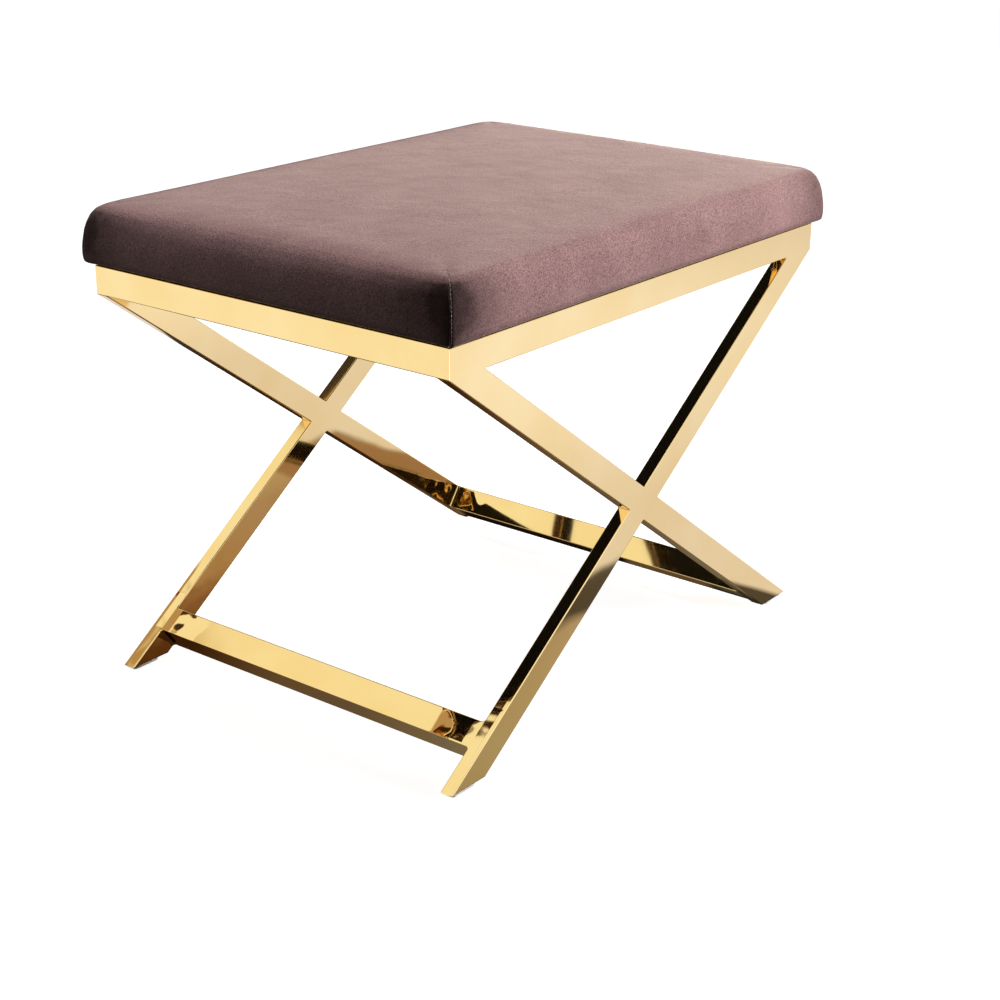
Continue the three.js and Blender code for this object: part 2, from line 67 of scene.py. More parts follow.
# Stops of a colour ramp: the place of each, and its sRGB hex colour or its linear grey
Tones = tuple[tuple[float, str | float], ...]
Tree = bpy.types.NodeTree
Node = bpy.types.Node
Socket = bpy.types.NodeSocket

log = logging.getLogger("stool")


class Slot(Enum):
    """The record's material slots."""

    GOLD_STEEL = "gold_steel"
    NYLON = "nylon"
    ZINC_STEEL = "zinc_steel"
    PLYWOOD = "plywood"
    FOAM = "foam"
    WADDING = "wadding"
    VELVET = "velvet"
    DUST_CLOTH = "dust_cloth"


class Corner(Enum):
    """The stool's corners: the side of the middle that each is on, along X and along Y."""

    FRONT_LEFT = (-1, -1)
    FRONT_RIGHT = (1, -1)
    BACK_RIGHT = (1, 1)
    BACK_LEFT = (-1, 1)

    @property
    def label(self) -> str:
        """The corner's name in the names of the CAD nodes."""
        return self.name.lower()


# Shader nodes


def linear(tone: str | float) -> Colour:
    """Turns an sRGB colour into the linear one that shaders take.

    Args:
        tone: Six hex digits after a hash sign, or a grey that is linear already.

    Returns:
        Red, green and blue in linear light, and an alpha of 1.
    """
    if not isinstance(tone, str):
        return tone, tone, tone, 1.0
    shares = [int(tone[i : i + 2], 16) / 255 for i in (1, 3, 5)]
    red, green, blue = (s / 12.92 if s <= 0.04045 else ((s + 0.055) / 1.055) ** 2.4 for s in shares)
    return red, green, blue, 1.0


def add_node(
    tree: Tree,
    kind: str,
    inputs: dict[str | int, Any] | Sequence[Any] = (),
    stops: Tones = (),
    **settings: Any,
) -> Node:
    """Adds a shader node with its settings, values and links.

    Args:
        tree: The node tree that takes the node.
        kind: The node's type, without the words ShaderNode in front.
        inputs: What goes into the inputs, by their names or numbers or in their order: a value, a hex
            colour, an output socket, or a node that gives its first output in use.
        stops: Places and colours of a colour ramp.
        settings: Values for the node's own properties.

    Returns:
        The new node.
    """
    node = tree.nodes.new("ShaderNode" + kind)
    for name, value in settings.items():
        setattr(node, name, value)
    for key, value in inputs.items() if isinstance(inputs, dict) else enumerate(inputs):
        if isinstance(value, Node):
            value = next(socket for socket in value.outputs if socket.enabled)
        if isinstance(value, Socket):
            tree.links.new(value, node.inputs[key])
        else:
            node.inputs[key].default_value = linear(value) if isinstance(value, str) else value
    if stops:
        elements = node.color_ramp.elements
        while len(elements) < len(stops):
            elements.new(0.5)
        for element, (place, tone) in zip(elements, stops):
            element.position = place
            element.color = linear(tone)
    return node


@dataclass(frozen=True)
class Finish(ABC):
    """A surface finish that makes one procedural material and shares it among its pieces."""

    # The material's name: what it is made of and how its surface was made
    title: ClassVar[str]
    _made: ClassVar[dict["Finish", bpy.types.Material]] = {}

    @abstractmethod
    def surface(self, tree: Tree, place: Socket) -> dict[str, Any]:
        """Adds the finish's patterns.

        Args:
            tree: The material's node tree.
            place: The place in the piece's own coordinates.

        Returns:
            What goes into the inputs of the Principled BSDF.
        """

    def material(self) -> bpy.types.Material:
        """Makes the material the first time and gives the same one after that.

        Returns:
            The material.
        """
        if self not in self._made:
            made = bpy.data.materials.new(self.title)
            made.use_nodes = True
            tree = made.node_tree
            tree.nodes.clear()
            place = add_node(tree, "TexCoord").outputs["Object"]
            shader = add_node(tree, "BsdfPrincipled", self.surface(tree, place))
            add_node(tree, "OutputMaterial", [shader])
            self._made[self] = made
        return self._made[self]

    def paint(self, piece: bpy.types.Object) -> None:
        """Puts the finish on every face of a piece."""
        piece.data.materials.clear()
        piece.data.materials.append(self.material())


@dataclass(frozen=True)
class GoldVapourCoatedSteel(Finish):
    """Stainless steel tube, ground and buffed to a mirror, under a vapour-deposited gold coloured coat.

    The eye sees a pale warm mirror. Buffing leaves the flats a little wavy, so that what they mirror
    bends, and the coat is very slightly deeper in some places than in others.
    """

    title: ClassVar[str] = "stainless_steel_buffed_gold_vapour_coat"
    coat: Tones = ((0.35, "#FEE6B4"), (0.7, "#FBDFA6"))
    patch: float = 60 * MM
    haze: float = 20 * MM
    roughness: Span = (0.035, 0.065)
    wave: float = 34 * MM
    wave_height: float = 0.05 * MM
    # Where the stretchers are welded to the legs the buffing leaves lumps and a slope along the face.
    lump: float = 24 * MM
    lump_height: float = 1.6 * MM
    slope_span: Span = (196 * MM, 228 * MM)
    slope_rise: float = 3.4 * MM
    # They start this far from the stretcher's middle, behind a ragged edge, and fade in the leg.
    lump_span: Span = (138 * MM, 200 * MM)
    lump_fade: Tones = ((0.56, 1.0), (0.7, 0.4), (0.84, 0.4), (0.89, 0.0))
    ragged: float = 20 * MM
    ragged_by: float = 14 * MM
    lump_top: float = 78 * MM

    def weld_relief(self, tree: Tree, place: Socket) -> Node:
        """Adds the relief in metres that grinding leaves where a stretcher meets the legs.

        Args:
            tree: The material's node tree.
            place: The place in the piece's own coordinates.

        Returns:
            The node that gives the relief.
        """
        x, y, z = add_node(tree, "SeparateXYZ", [place]).outputs
        out = add_node(tree, "Math", [x], operation="ABSOLUTE")
        aside = add_node(tree, "Math", [y], operation="ABSOLUTE")
        slope = add_node(tree, "MapRange", [out, *self.slope_span, 0, self.slope_rise])
        lumps = add_node(tree, "TexNoise", {"Vector": place, "Scale": 1 / self.lump, "Detail": 1})
        relief = add_node(tree, "Math", [lumps, self.lump_height, slope], operation="MULTIPLY_ADD")
        share = add_node(tree, "MapRange", [aside, *self.lump_span])
        outer = add_node(tree, "ValToRGB", [share], self.lump_fade)
        ripple = add_node(tree, "TexNoise", {"Vector": place, "Scale": 1 / self.ragged, "Detail": 0})
        torn = add_node(tree, "Math", [ripple, self.ragged_by, aside], operation="MULTIPLY_ADD")
        start = self.lump_span[0] + self.ragged_by / 2
        inner, low = (
            add_node(tree, "MapRange", [value, begin, end], interpolation_type="SMOOTHSTEP")
            for value, begin, end in (
                (torn, start, start + self.lump),
                (z, self.lump_top, self.lump_top - self.lump),
            )
        )
        product = inner
        for factor in (low, outer, relief):
            product = add_node(tree, "Math", [product, factor], operation="MULTIPLY")
        return product

    def surface(self, tree: Tree, place: Socket) -> dict[str, Any]:
        """Adds the tint in patches, the haze, and the waves and weld lumps of the face."""
        patches = add_node(tree, "TexNoise", {"Vector": place, "Scale": 1 / self.patch, "Detail": 3})
        haze = add_node(tree, "TexNoise", {"Vector": place, "Scale": 1 / self.haze, "Detail": 4})
        waves = add_node(tree, "TexNoise", {"Vector": place, "Scale": 1 / self.wave, "Detail": 1})
        buffed = add_node(tree, "Bump", {"Height": waves, "Distance": self.wave_height})
        relief = self.weld_relief(tree, place)
        return {
            "Metallic": 1.0,
            "Base Color": add_node(tree, "ValToRGB", [patches], self.coat),
            "Roughness": add_node(tree, "MapRange", [haze, 0, 1, *self.roughness]),
            "Normal": add_node(tree, "Bump", {"Height": relief, "Distance": 1.0, "Normal": buffed}),
        }


@dataclass(frozen=True)
class PolyesterVelvet(Finish):
    """Short pile polyester velvet, woven, with its pile brushed down.

    The eye sees a deep mauve brown where it looks into the pile and a pale bloom where it looks
    across it, with soft mottling where hands have turned the pile.
    """

    title: ClassVar[str] = "polyester_velvet_woven_short_pile"
    pile: Tones = ((0.35, "#9A7877"), (0.75, "#AC8887"))
    bloom: str = "#FFEADB"
    mottle: float = 45 * MM
    # The pile's own tufts are 0.15 mm apart. They are drawn coarser, so that they show.
    tuft: float = 1.3 * MM
    tuft_height: float = 0.3 * MM
    tuft_span: Span = (0.3, 0.7)
    tuft_shade: float = 0.42
    # The pile leans this way and that in patches, which turns the light a little.
    nap: float = 26 * MM
    nap_height: float = 0.8 * MM
    # Painted shade near each corner's seam, in blotches, where the cloth is drawn to the seam.
    seam_place: Place = (0.280, 0.204, 0.414)
    seam_shade_reach: float = 85 * MM
    seam_shade_tones: Tones = ((0.0, 0.88), (0.25, 0.83), (0.4, 0.5), (0.55, 0.32), (0.78, 0.14), (1.0, 0.0))
    seam_shade_blotch: float = 14 * MM
    seam_shade_ragged: float = 26 * MM
    # Over the seam's top the painted shade reaches less far out.
    seam_top: Span = (427 * MM, 437 * MM)
    seam_shade_top_step: float = 59.5 * MM
    # The painted seam shade is full at the stool's left end, away from the lamps, and weaker at its right
    # end.
    right_end_shade_share: float = 0.45
    # Painted shade along the lower edge, which turns under where it meets the rail.
    lower_edge_shade: Span = (380 * MM, 389 * MM)
    lower_edge_darkest: float = 0.35

    def painted_shade(self, tree: Tree, place: Socket) -> Node:
        """Adds painted shade on the pile: darker near the corners' seams, most at the stool's left end, and
        along the lower edge.

        Args:
            tree: The material's node tree.
            place: The place in the piece's own coordinates.

        Returns:
            The node that gives the share of light, from 0 to 1.
        """
        x, _, z = add_node(tree, "SeparateXYZ", [place]).outputs
        folded = add_node(tree, "VectorMath", [place], operation="ABSOLUTE")
        from_seam = add_node(tree, "VectorMath", [folded, self.seam_place], operation="SUBTRACT")
        away = add_node(tree, "VectorMath", [from_seam], operation="LENGTH")
        over = add_node(tree, "MapRange", [z, *self.seam_top])
        further = add_node(tree, "Math", [over, self.seam_shade_top_step, away], operation="MULTIPLY_ADD")
        blotches = add_node(
            tree, "TexNoise", {"Vector": place, "Scale": 1 / self.seam_shade_blotch, "Detail": 4, "Roughness": 0.6}
        )
        ragged = add_node(tree, "Math", [blotches, self.seam_shade_ragged, further], operation="MULTIPLY_ADD")
        start = self.seam_shade_ragged / 2
        share = add_node(tree, "MapRange", [ragged, start, start + self.seam_shade_reach])
        near = add_node(tree, "ValToRGB", [share], self.seam_shade_tones)
        # The painted seam shade is full at the left end and weaker towards the right end.
        reach = self.seam_place[0]
        shade_along = add_node(tree, "MapRange", [x, reach, -reach, self.right_end_shade_share])
        dark = add_node(tree, "Math", [near, shade_along], operation="MULTIPLY")
        light = add_node(tree, "Math", [1.0, dark], operation="SUBTRACT")
        # Painted shade along the lower edge.
        lower_edge_shade = add_node(tree, "MapRange", [z, *self.lower_edge_shade, self.lower_edge_darkest])
        return add_node(tree, "Math", [light, lower_edge_shade], operation="MULTIPLY")

    def surface(self, tree: Tree, place: Socket) -> dict[str, Any]:
        """Adds the mottled pile, its tufts, the way it leans, and the painted shade near the seams and along
        the lower edge.
        """
        mottling = add_node(
            tree, "TexNoise", {"Vector": place, "Scale": 1 / self.mottle, "Detail": 6, "Roughness": 0.6}
        )
        tufts = add_node(tree, "TexNoise", {"Vector": place, "Scale": 1 / self.tuft, "Detail": 2})
        leaning = add_node(tree, "TexNoise", {"Vector": place, "Scale": 1 / self.nap, "Detail": 2})
        tint = add_node(tree, "ValToRGB", [mottling], self.pile)
        shades = 1 - self.tuft_shade, 1 + self.tuft_shade
        speck = add_node(tree, "MapRange", [tufts, *self.tuft_span, *shades])
        # The base colour carries the painted shade.
        shade = add_node(tree, "Math", [speck, self.painted_shade(tree, place)], operation="MULTIPLY")
        lean = add_node(tree, "Bump", {"Height": leaning, "Distance": self.nap_height})
        return {
            "Base Color": add_node(tree, "VectorMath", {0: tint, "Scale": shade}, operation="SCALE"),
            "Roughness": 0.95,
            "IOR": 1.5,
            "Specular IOR Level": 0.1,
            "Sheen Weight": 0.75,
            "Sheen Roughness": 0.35,
            "Sheen Tint": self.bloom,
            "Normal": add_node(tree, "Bump", {"Height": tufts, "Distance": self.tuft_height, "Normal": lean}),
        }


@dataclass(frozen=True)
class MouldedNylon(Finish):
    """Natural nylon, injection moulded, which looks milky with a satin skin."""

    title: ClassVar[str] = "nylon_moulded_natural"
    body: Tones = ((0.3, "#F4F2F8"), (0.8, "#E6E4EE"))
    cloud: float = 6 * MM
    grain: float = 0.8 * MM
    grain_height: float = 0.03 * MM

    def surface(self, tree: Tree, place: Socket) -> dict[str, Any]:
        """Adds milky clouds and a fine skin."""
        clouds = add_node(tree, "TexNoise", {"Vector": place, "Scale": 1 / self.cloud, "Detail": 2})
        skin = add_node(tree, "TexNoise", {"Vector": place, "Scale": 1 / self.grain, "Detail": 1})
        return {
            "Base Color": add_node(tree, "ValToRGB", [clouds], self.body),
            "IOR": 1.53,
            "Roughness": 0.38,
            "Normal": add_node(tree, "Bump", {"Height": skin, "Distance": self.grain_height}),
        }


@dataclass(frozen=True)
class ZincPlatedSteel(Finish):
    """Pressed or headed steel with a bright zinc plate, which looks cool, grey and a little cloudy."""

    title: ClassVar[str] = "steel_zinc_plated_bright"
    plate: Tones = ((0.3, "#C3C6CB"), (0.75, "#A2A6AD"))
    cloud: float = 2.5 * MM
    roughness: Span = (0.22, 0.45)

    def surface(self, tree: Tree, place: Socket) -> dict[str, Any]:
        """Adds clouds that are dull as well as darker."""
        clouds = add_node(tree, "TexNoise", {"Vector": place, "Scale": 1 / self.cloud, "Detail": 4})
        return {
            "Metallic": 1.0,
            "Base Color": add_node(tree, "ValToRGB", [clouds], self.plate),
            "Roughness": add_node(tree, "MapRange", [clouds, 0, 1, *self.roughness]),
        }


@dataclass(frozen=True)
class PoplarPlywood(Finish):
    """Rotary cut poplar plywood, sanded and left raw, with pale wavy grain and a layered edge."""

    title: ClassVar[str] = "poplar_plywood_sanded_raw"
    wood: Tones = ((0.35, "#D9BF93"), (0.7, "#C4A272"))
    grain_width: float = 5 * MM
    # The grain is drawn out along the board and pressed thin across its layers.
    grain_run: Place = (0.15, 1.0, 3.0)
    waviness: float = 0.6

    def surface(self, tree: Tree, place: Socket) -> dict[str, Any]:
        """Adds the wavy grain."""
        drawn = add_node(tree, "Mapping", {"Vector": place, "Scale": self.grain_run})
        scale = {"Scale": 1 / self.grain_width, "Detail": 5, "Distortion": self.waviness}
        grain = add_node(tree, "TexNoise", {"Vector": drawn, **scale})
        tint = add_node(tree, "ValToRGB", [grain], self.wood)
        return {"Base Color": tint, "Roughness": 0.75, "IOR": 1.5, "Specular IOR Level": 0.3}


@dataclass(frozen=True)
class PolyurethaneFoam(Finish):
    """Open cell polyurethane foam, cut from a block, cream and finely pitted."""

    title: ClassVar[str] = "polyurethane_foam_cut"
    body: Tones = ((0.1, "#D3C39E"), (0.5, "#EBDFC3"))
    cell: float = 1.2 * MM
    pit_depth: float = 0.6 * MM

    def surface(self, tree: Tree, place: Socket) -> dict[str, Any]:
        """Adds the open cells, whose pits are coloured darker as painted shade."""
        cells = add_node(tree, "TexVoronoi", {"Vector": place, "Scale": 1 / self.cell})
        return {
            "Base Color": add_node(tree, "ValToRGB", [cells], self.body),
            "Roughness": 1.0,
            "Specular IOR Level": 0.1,
            "Normal": add_node(tree, "Bump", {"Height": cells, "Distance": self.pit_depth}),
        }


@dataclass(frozen=True)
class PolyesterWadding(Finish):
    """Carded polyester wadding, white and cloudy."""

    title: ClassVar[str] = "polyester_wadding_carded"
    fibre: Tones = ((0.3, "#DCDBD8"), (0.7, "#F2F1EE"))
    cloud: float = 14 * MM

    def surface(self, tree: Tree, place: Socket) -> dict[str, Any]:
        """Adds the clouds of fibre."""
        clouds = add_node(
            tree, "TexNoise", {"Vector": place, "Scale": 1 / self.cloud, "Detail": 8, "Roughness": 0.7}
        )
        tint = add_node(tree, "ValToRGB", [clouds], self.fibre)
        return {"Base Color": tint, "Roughness": 1.0, "Specular IOR Level": 0.05, "Sheen Weight": 0.3}


@dataclass(frozen=True)
class SpunbondedCloth(Finish):
    """Black spunbonded polypropylene, pressed between rollers that leave a grid of bond points."""

    title: ClassVar[str] = "polypropylene_spunbonded_black"
    body: Tones = ((0.15, "#2C2B2E"), (0.4, "#1B1A1C"))
    # Real bond points are 1.2 mm apart. They are drawn twice as far apart, so that they show.
    pitch: float = 2.4 * MM
    unevenness: float = 0.25
    dent: float = 0.12 * MM

    def surface(self, tree: Tree, place: Socket) -> dict[str, Any]:
        """Adds the bond points."""
        scale = {"Scale": 1 / self.pitch, "Randomness": self.unevenness}
        points = add_node(tree, "TexVoronoi", {"Vector": place, **scale})
        return {
            "Base Color": add_node(tree, "ValToRGB", [points], self.body),
            "Roughness": 0.8,
            "Specular IOR Level": 0.25,
            "Sheen Weight": 0.15,
            "Normal": add_node(tree, "Bump", {"Height": points, "Distance": self.dent}),
        }


@dataclass(frozen=True)
class SewingThread(Finish):
    """Spun polyester sewing thread, which looks paler than the velvet and a little silky."""

    title: ClassVar[str] = "polyester_sewing_thread_spun"
    thread: Tones = ((0.2, "#C8AEA8"), (0.6, "#E6D6D0"))
    # The thread's two plies turn every 1.2 mm.
    ply: float = 1.2 * MM
    # The wave texture's scale for plies that turn once a metre
    scale_of_a_metre: float = 0.16

    def surface(self, tree: Tree, place: Socket) -> dict[str, Any]:
        """Adds the turn of the plies."""
        scale = self.scale_of_a_metre / self.ply
        plies = add_node(tree, "TexWave", {"Vector": place, "Scale": scale}, bands_direction="DIAGONAL")
        tint = add_node(tree, "ValToRGB", [plies.outputs["Fac"]], self.thread)
        return {"Base Color": tint, "Roughness": 0.6, "Specular IOR Level": 0.3, "Sheen Weight": 0.4}


# Meshes


def new_object(name: str, data: bpy.types.ID) -> bpy.types.Object:
    """Makes an object that shows a mesh, a lamp or a camera and links it to the scene."""
    made = bpy.data.objects.new(name, data)
    bpy.context.scene.collection.objects.link(made)
    return made


def mesh_of(name: str, build: Callable[[bmesh.types.BMesh], None]) -> bpy.types.Mesh:
    """Makes a mesh with outward faces from a function that fills a bmesh.

    Args:
        name: The mesh's name.
        build: What fills the bmesh.

    Returns:
        The mesh.
    """
    work = bmesh.new()
    build(work)
    bmesh.ops.recalc_face_normals(work, faces=work.faces)
    mesh = bpy.data.meshes.new(name)
    work.to_mesh(mesh)
    work.free()
    return mesh


@contextmanager
def reworked(source: bpy.types.Mesh, target: bpy.types.Mesh | None = None) -> Iterator[bmesh.types.BMesh]:
    """Opens a mesh for changes, and writes them back to it or to another mesh.

    Args:
        source: The mesh that is read.
        target: The mesh that is written, where it isn't the same.

    Yields:
        The mesh as a bmesh.
    """
    work = bmesh.new()
    work.from_mesh(source)
    yield work
    work.to_mesh(source if target is None else target)
    work.free()


def band(work: bmesh.types.BMesh, rings: Sequence[Sequence[bmesh.types.BMVert]]) -> None:
    """Joins rings of as many points each, one to the next, by four-sided faces."""
    for below, above in zip(rings, rings[1:]):
        for i in range(len(below)):
            j = (i + 1) % len(below)
            work.faces.new((below[i], below[j], above[j], above[i]))


def whole(faces: Iterable[bmesh.types.BMFace]) -> list[Any]:
    """Gives faces with their edges and their corners."""
    return list({*faces, *(e for f in faces for e in f.edges), *(v for f in faces for v in f.verts)})


def angles(count: int) -> list[float]:
    """Gives angles that are spread evenly round a circle."""
    return [2 * math.pi * i / count for i in range(count)]


def quarter(steps: int) -> list[float]:
    """Gives the angles from nothing to a quarter turn in even steps."""
    return [step / steps * math.pi / 2 for step in range(steps + 1)]


def evaluated_mesh(source: bpy.types.Object, name: str) -> bpy.types.Mesh:
    """Gives a copy of what an object's modifiers make of its mesh."""
    graph = bpy.context.evaluated_depsgraph_get()
    mesh = bpy.data.meshes.new_from_object(source.evaluated_get(graph), depsgraph=graph)
    mesh.name = name
    return mesh


def add_modifier(piece: bpy.types.Object, kind: str, **settings: Any) -> bpy.types.Modifier:
    """Adds a modifier to a piece and sets its properties."""
    modifier = piece.modifiers.new(kind.lower(), kind)
    for name, value in settings.items():
        setattr(modifier, name, value)
    return modifier


def applied(piece: bpy.types.Object) -> bpy.types.Object:
    """Turns a piece's modifiers into its mesh.

    Args:
        piece: The object whose modifiers are applied.

    Returns:
        The same object.
    """
    mesh = evaluated_mesh(piece, piece.name)
    piece.modifiers.clear()
    piece.data = mesh
    return piece


def shade_smooth(piece: bpy.types.Object, smooth: bool = True) -> None:
    """Shades every face of a piece smooth or flat."""
    piece.data.polygons.foreach_set("use_smooth", [smooth] * len(piece.data.polygons))


def round_edges(piece: bpy.types.Object, radius: float, segments: int, angle: float) -> None:
    """Rounds a piece's edges and keeps its flats flat to the eye.

    Args:
        piece: The object.
        radius: The width of the rounding.
        segments: How many faces make it.
        angle: The least turn at an edge that is rounded, in radians.
    """
    shade_smooth(piece)
    add_modifier(
        piece, "BEVEL", width=radius, segments=segments, limit_method="ANGLE", angle_limit=angle,
        miter_outer="MITER_ARC", use_clamp_overlap=False,
    )
    add_modifier(piece, "WEIGHTED_NORMAL", weight=100, keep_sharp=False)


def extruded(name: str, outline: Outline, low: float, high: float) -> bpy.types.Object:
    """Makes a prism along Y from an outline of x and z.

    Args:
        name: The object's name.
        outline: The corners in order.
        low: Where it starts along Y.
        high: Where it ends along Y.

    Returns:
        The object.
    """

    def build(work: bmesh.types.BMesh) -> None:
        """Fills the bmesh with the prism."""
        ends = [[work.verts.new((x, y, z)) for x, z in outline] for y in (low, high)]
        for ring in ends:
            work.faces.new(ring)
        band(work, ends)

    return new_object(name, mesh_of(name, build))


def turned(name: str, profile: Outline, steps: int) -> bpy.types.Object:
    """Makes a round solid about Z from its profile.

    Args:
        name: The object's name.
        profile: Radius and height of each point. The first and last lie on the axis, or the profile
            closes on itself.
        steps: How many flats stand for the round.

    Returns:
        The object.
    """

    def build(work: bmesh.types.BMesh) -> None:
        """Fills the bmesh with the turned solid."""
        points = [work.verts.new((r, 0, z)) for r, z in profile]
        edges = [work.edges.new(pair) for pair in zip(points, points[1:])]
        if profile[0][0] > 0:
            edges.append(work.edges.new((points[-1], points[0])))
        bmesh.ops.spin(
            work, geom=[*points, *edges], cent=(0, 0, 0), axis=(0, 0, 1), angle=2 * math.pi, steps=steps,
            use_merge=True,
        )
        bmesh.ops.remove_doubles(work, verts=work.verts, dist=0.001 * MM)

    return new_object(name, mesh_of(name, build))


def boxed(name: str, low: Sequence[float], high: Sequence[float]) -> bpy.types.Object:
    """Makes a block between two corners."""
    outline = [(low[0], low[2]), (high[0], low[2]), (high[0], high[2]), (low[0], high[2])]
    return extruded(name, outline, low[1], high[1])


def combine(base: bpy.types.Object, others: Iterable[bpy.types.Object], operation: str) -> bpy.types.Object:
    """Joins solids to a solid or cuts them from it, and deletes them.

    Args:
        base: The solid that changes.
        others: The solids that are joined or cut.
        operation: UNION or DIFFERENCE.

    Returns:
        The base object with its new mesh.
    """
    for other in others:
        add_modifier(base, "BOOLEAN", operation=operation, object=other, solver="EXACT")
        applied(base)
        bpy.data.objects.remove(other)
    return base


def merge_flats(piece: bpy.types.Object, turn: float = math.radians(0.5)) -> None:
    """Joins faces whose planes differ by less than an angle."""
    with reworked(piece.data) as work:
        bmesh.ops.remove_doubles(work, verts=work.verts, dist=SAME_PLACE)
        bmesh.ops.dissolve_limit(work, angle_limit=turn, verts=work.verts, edges=work.edges)


def stitches(
    name: str, ends: Iterable[Sequence[Vector]], radius: float, sides: int = 8
) -> bpy.types.Object:
    """Makes a row of short stitches, each a slim round bar with pointed ends.

    Args:
        name: The object's name.
        ends: Both ends of each stitch.
        radius: The thread's radius.
        sides: How many flats stand for its round.

    Returns:
        The object.
    """
    # Shares of the stitch's length, and the share of the thread's radius at each
    profile = [(0.08, 0.6), (0.25, 0.95), (0.5, 1.0), (0.75, 0.95), (0.92, 0.6)]

    def build(work: bmesh.types.BMesh) -> None:
        """Fills the bmesh with the stitches."""
        for start, end in ends:
            along = end - start
            u = along.orthogonal().normalized()
            v = along.cross(u).normalized()
            ways = [u * math.cos(a) + v * math.sin(a) for a in angles(sides)]
            rings = [
                [work.verts.new(start + along * share + radius * width * way) for way in ways]
                for share, width in profile
            ]
            band(work, rings)
            for place, ring in ((start, rings[0]), (end, rings[-1])):
                tip = work.verts.new(place)
                for i in range(sides):
                    work.faces.new((tip, ring[i], ring[(i + 1) % sides]))

    piece = new_object(name, mesh_of(name, build))
    shade_smooth(piece)
    return piece


def settle(piece: bpy.types.Object, finish: Finish, slot: Slot, *nodes: str) -> bpy.types.Object:
    """Dresses a finished piece, fixes it to the stool and says which CAD nodes it stands for.

    Args:
        piece: The piece, in its place.
        finish: Its finish.
        slot: The record's slot for its finish; it is not used.
        nodes: The CAD nodes that it replaces.

    Returns:
        The piece.
    """
    finish.paint(piece)
    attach(piece, BODY)
    if nodes:
        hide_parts(*nodes)
    stands_for = ", ".join(nodes) or "no node"
    log.info("%s: %d faces, stands for %s", piece.name, len(piece.data.polygons), stands_for)
    return piece


def dress_node(node: str, finish: Finish) -> bpy.types.Object:
    """Gives a CAD node a better finish.

    Args:
        node: The node's name.
        finish: Its finish.

    Returns:
        The node's object.
    """
    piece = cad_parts[node]
    finish.paint(piece)
    log.info("%s: CAD node, finish %s", node, finish.title)
    return piece


# Sub-assemblies


